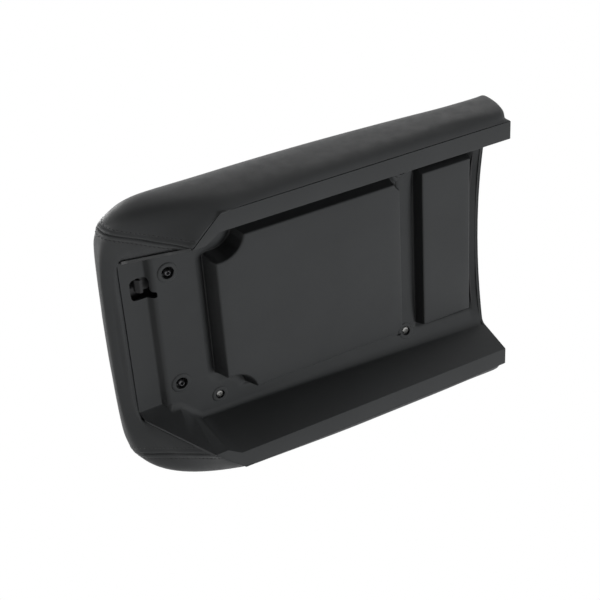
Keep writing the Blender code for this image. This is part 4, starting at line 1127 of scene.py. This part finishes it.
def screw_head(bm, place, seat, radius, height, points):
    """Domed head with a star-shaped recess, turned from its profile, facing down."""
    x, y = place
    profile = [(0.0, seat - height * 0.55), (radius * 0.40, seat - height * 0.55),
               (radius * 0.46, seat - height * 0.98), (radius * 0.58, seat - height),
               (radius * 0.84, seat - height * 0.80),
               (radius * 0.97, seat - height * 0.45), (radius, seat - height * 0.18),
               (radius * 0.97, seat),
               (radius * 0.45, seat), (radius * 0.45, seat + 0.0030), (0.0, seat + 0.0030)]
    verts, edges = chain(bm, [(x + size, y, z) for size, z in profile])
    steps = points * 6
    bmesh.ops.spin(bm, geom=verts + edges, cent=(x, y, 0), axis=(0, 0, 1), angle=2 * math.pi,
                   steps=steps,
                   use_merge=True)
    bmesh.ops.remove_doubles(bm, verts=bm.verts[:], dist=1e-6)
    for vert in bm.verts:
        spot = vert.co.xy - Vector((x, y))
        if radius * 0.1 < spot.length < radius * 0.5 and vert.co.z < seat - height * 0.3:
            wave = 1 + 0.16 * math.cos(points * math.atan2(spot.y, spot.x))
            vert.co.x = x + spot.x * wave
            vert.co.y = y + spot.y * wave
    bmesh.ops.recalc_face_normals(bm, faces=bm.faces[:])


class LID_OT_screws(bpy.types.Operator):
    """Models the four bright liner screws and the two dark latch screws"""
    bl_idname = "console_lid.screws"
    bl_label = "Screws"

    def execute(self, context):
        settings = context.scene.lid_screws
        bright = brushed_steel("bright_screw_steel", settings.bright, 0.34)
        dark = brushed_steel("dark_screw_steel", settings.dark, 0.34)
        for index, (x, y) in enumerate(SCREW_PLACES, 1):
            bm = bmesh.new()
            screw_head(bm, (x, y), ledge_height(x, y) + 0.0016, settings.head_radius, 0.0022, 6)
            screw = add_piece(f"bright_screw_{index}", bm, bright, sharp=35)
            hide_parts(f"liner_screw_{index}")
        for side, name in ((-1, "left"), (1, "right")):
            bm = bmesh.new()
            screw_head(bm, (side * LATCH_SCREW_X, LATCH_SCREW_Y), LEDGE_HEIGHT + 0.0046,
                       settings.latch_head_radius, 0.0066, 6)
            screw = add_piece(f"dark_screw_{name}", bm, dark, sharp=35)
            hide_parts(f"latch_screw_{name}")
        return {"FINISHED"}


class LID_OT_latch(bpy.types.Operator):
    """Finishes the latch's bracket, pin, spring and catch, and the hidden base shell"""
    bl_idname = "console_lid.latch"
    bl_label = "Latch and base shell"

    def execute(self, context):
        settings = context.scene.lid_latch
        # Painted shade: the near-black steel colour keeps the latch dark inside the slot and hides
        # its lamp highlight.
        steel_painted_dark = brushed_steel("plated_steel_painted_dark", settings.steel_painted_dark, 0.5)
        catch = moulded_plastic("catch_plastic_finish", settings.catch, 0.42)
        shell = moulded_plastic("shell_plastic_finish", (0.030, 0.030, 0.031), 0.6)
        finishes = {"latch_bracket": steel_painted_dark, "latch_pin": steel_painted_dark, "latch_spring": steel_painted_dark,
                    "latch_nut_left": steel_painted_dark,
                    "latch_nut_right": steel_painted_dark, "latch_catch": catch, "base_shell": shell}
        for name, finish in finishes.items():
            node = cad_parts[name]
            for index in range(max(1, len(node.material_slots))):
                if node.material_slots:
                    node.material_slots[index].material = finish
                else:
                    node.data.materials.append(finish)
        return {"FINISHED"}


# Stage

FADE_START = 0.30        # from the lid's middle, where the floor starts to turn into the backdrop
FADE_END = 0.85


# The camera fitted to the photograph: its place, its axes and its focal length in pixels
CAMERA_PLACE = (0.6747, -0.5210, -0.9258)
CAMERA_RIGHT = (-0.0601, 0.8670, -0.4947)
CAMERA_DOWN = (-0.8468, -0.3067, -0.4346)
CAMERA_AHEAD = (-0.5285, 0.3928, 0.7526)
FOCAL_PIXELS = 1373.03
PICTURE_PIXELS = 600
SENSOR_WIDTH = 36


def place_camera():
    """Camera below the lid, as the photograph was taken."""
    right, down, ahead = Vector(CAMERA_RIGHT), Vector(CAMERA_DOWN), Vector(CAMERA_AHEAD)
    data = bpy.data.cameras.new("camera")
    data.lens = FOCAL_PIXELS / PICTURE_PIXELS * SENSOR_WIDTH
    data.sensor_width = SENSOR_WIDTH
    data.sensor_fit = "HORIZONTAL"
    data.clip_start = 0.05
    data.clip_end = 30
    camera = bpy.data.objects.new("camera", data)
    bpy.context.scene.collection.objects.link(camera)
    turn = Matrix((right, -down, -ahead)).transposed()
    camera.matrix_world = Matrix.Translation(CAMERA_PLACE) @ turn.to_4x4()
    bpy.context.scene.camera = camera


def add_lamp(name, position, target, size, power):
    data = bpy.data.lights.new(name, "AREA")
    data.energy = power
    data.shape = "DISK"
    data.size = size
    lamp = bpy.data.objects.new(name, data)
    bpy.context.scene.collection.objects.link(lamp)
    ahead = (Vector(target) - Vector(position)).normalized()
    turn = ahead.to_track_quat("-Z", "Y").to_matrix().to_4x4()
    lamp.matrix_world = Matrix.Translation(position) @ turn
    return lamp


def floor_material(colour):
    """Pale floor with the lid's shadow, which fades into the backdrop further out.

    Only the camera sees it, and only from above, so the lid's underside shows through it.
    """
    material = bpy.data.materials.new("studio_floor")
    material.use_nodes = True
    tree = material.node_tree
    tree.nodes.clear()
    output = tree.nodes.new("ShaderNodeOutputMaterial")
    paper = tree.nodes.new("ShaderNodeBsdfDiffuse")
    grain = tree.nodes.new("ShaderNodeTexNoise")
    grain.inputs["Scale"].default_value = 60
    ramp = tree.nodes.new("ShaderNodeValToRGB")
    ramp.color_ramp.elements[0].color = (*[part * 0.90 for part in colour], 1)
    ramp.color_ramp.elements[1].color = (*[part * 0.94 for part in colour], 1)
    place = tree.nodes.new("ShaderNodeTexCoord")
    tree.links.new(place.outputs["Object"], grain.inputs["Vector"])
    tree.links.new(grain.outputs["Fac"], ramp.inputs["Fac"])
    tree.links.new(ramp.outputs["Color"], paper.inputs["Color"])
    clear = tree.nodes.new("ShaderNodeBsdfTransparent")
    back = tree.nodes.new("ShaderNodeNewGeometry")
    path = tree.nodes.new("ShaderNodeLightPath")
    unseen = tree.nodes.new("ShaderNodeMath")
    unseen.operation = "SUBTRACT"
    unseen.inputs[0].default_value = 1.0
    either = tree.nodes.new("ShaderNodeMath")
    either.operation = "MAXIMUM"
    blend = tree.nodes.new("ShaderNodeMixShader")
    tree.links.new(path.outputs["Is Camera Ray"], unseen.inputs[1])
    tree.links.new(unseen.outputs["Value"], either.inputs[0])
    tree.links.new(back.outputs["Backfacing"], either.inputs[1])
    plain = tree.nodes.new("ShaderNodeEmission")
    plain.inputs["Color"].default_value = (*colour, 1)
    plain.inputs["Strength"].default_value = 1.0
    reach = tree.nodes.new("ShaderNodeVectorMath")
    reach.operation = "LENGTH"
    fade = tree.nodes.new("ShaderNodeMapRange")
    fade.interpolation_type = "SMOOTHSTEP"
    fade.inputs["From Min"].default_value = FADE_START
    fade.inputs["From Max"].default_value = FADE_END
    ground = tree.nodes.new("ShaderNodeMixShader")
    tree.links.new(place.outputs["Object"], reach.inputs[0])
    tree.links.new(reach.outputs["Value"], fade.inputs["Value"])
    tree.links.new(fade.outputs["Result"], ground.inputs["Fac"])
    tree.links.new(paper.outputs["BSDF"], ground.inputs[1])
    tree.links.new(plain.outputs["Emission"], ground.inputs[2])
    tree.links.new(either.outputs["Value"], blend.inputs["Fac"])
    tree.links.new(ground.outputs["Shader"], blend.inputs[1])
    tree.links.new(clear.outputs["BSDF"], blend.inputs[2])
    tree.links.new(blend.outputs["Shader"], output.inputs["Surface"])
    return material


def paint_world(colour, ambient):
    """Even backdrop for the camera and for reflections, with a soft level of light from it."""
    world = bpy.data.worlds.new("studio")
    bpy.context.scene.world = world
    world.use_nodes = True
    tree = world.node_tree
    tree.nodes.clear()
    output = tree.nodes.new("ShaderNodeOutputWorld")
    seen = tree.nodes.new("ShaderNodeBackground")
    seen.inputs["Color"].default_value = (*colour, 1)
    seen.inputs["Strength"].default_value = 1.0
    soft = tree.nodes.new("ShaderNodeBackground")
    soft.inputs["Color"].default_value = (1, 1, 1, 1)
    soft.inputs["Strength"].default_value = ambient
    path = tree.nodes.new("ShaderNodeLightPath")
    either = tree.nodes.new("ShaderNodeMath")
    either.operation = "MAXIMUM"
    tree.links.new(path.outputs["Is Camera Ray"], either.inputs[0])
    tree.links.new(path.outputs["Is Transmission Ray"], either.inputs[1])
    mirrored = tree.nodes.new("ShaderNodeMath")
    mirrored.operation = "MAXIMUM"
    tree.links.new(either.outputs["Value"], mirrored.inputs[0])
    tree.links.new(path.outputs["Is Glossy Ray"], mirrored.inputs[1])
    blend = tree.nodes.new("ShaderNodeMixShader")
    tree.links.new(mirrored.outputs["Value"], blend.inputs["Fac"])
    tree.links.new(soft.outputs["Background"], blend.inputs[1])
    tree.links.new(seen.outputs["Background"], blend.inputs[2])
    tree.links.new(blend.outputs["Shader"], output.inputs["Surface"])


class LID_OT_stage(bpy.types.Operator):
    """Sets the camera, the floor, the lamps and the backdrop"""
    bl_idname = "console_lid.stage"
    bl_label = "Camera, floor and lamps"

    def execute(self, context):
        settings = context.scene.lid_stage
        place_camera()
        bm = bmesh.new()
        bmesh.ops.create_grid(bm, x_segments=8, y_segments=8, size=3.0)
        bmesh.ops.translate(bm, verts=bm.verts[:], vec=(0, 0, -0.0006))
        floor = add_piece("studio_floor", bm, floor_material(settings.backdrop), body=None)
        middle = Vector((0, 0, 0.04))
        key = add_lamp("key_lamp", middle + Vector((-0.45, 1.45, -2.55)), middle, 1.3,
                       settings.key_power)
        key.visible_glossy = False
        add_lamp("side_lamp", middle + Vector((1.25, 0.95, 0.95)), middle, 0.9,
                 settings.side_power)
        add_lamp("front_lamp", middle + Vector((-0.25, -1.55, 0.62)), middle, 0.9,
                 settings.front_power)
        add_lamp("top_lamp", middle + Vector((0.3, -0.6, 1.8)), middle, 1.3, settings.top_power)
        paint_world(settings.backdrop, settings.ambient)
        context.scene.view_settings.view_transform = "Standard"
        return {"FINISHED"}


class LID_PT_panel(bpy.types.Panel):
    """Lists the pieces of the console lid and their settings"""
    bl_label = "Console Lid"
    bl_idname = "LID_PT_panel"
    bl_space_type = "VIEW_3D"
    bl_region_type = "UI"
    bl_category = "Console Lid"

    def draw(self, context):
        layout = self.layout
        for operator, group in STEPS:
            box = layout.box()
            box.operator(operator.bl_idname)
            if group:
                settings = getattr(context.scene, group)
                for name in settings.__annotations__:
                    box.prop(settings, name)


STEPS = ((LID_OT_stage, "lid_stage"), (LID_OT_liner, "lid_liner"), (LID_OT_cover, "lid_cover"),
         (LID_OT_screws, "lid_screws"), (LID_OT_latch, "lid_latch"))
GROUPS = {"lid_liner": LinerSettings, "lid_cover": CoverSettings, "lid_stitches": StitchSettings,
          "lid_screws": ScrewSettings, "lid_latch": LatchSettings, "lid_stage": StageSettings}
CLASSES = (*GROUPS.values(), *[operator for operator, group in STEPS], LID_PT_panel)


def register():
    for item in CLASSES:
        bpy.utils.register_class(item)
    for name, group in GROUPS.items():
        setattr(bpy.types.Scene, name, PointerProperty(type=group))


def unregister():
    for name in GROUPS:
        delattr(bpy.types.Scene, name)
    for item in reversed(CLASSES):
        bpy.utils.unregister_class(item)


def main():
    register()
    bpy.ops.console_lid.stage()
    bpy.ops.console_lid.liner()
    bpy.ops.console_lid.cover()
    bpy.ops.console_lid.screws()
    bpy.ops.console_lid.latch()


if __name__ == "__main__":
    main()
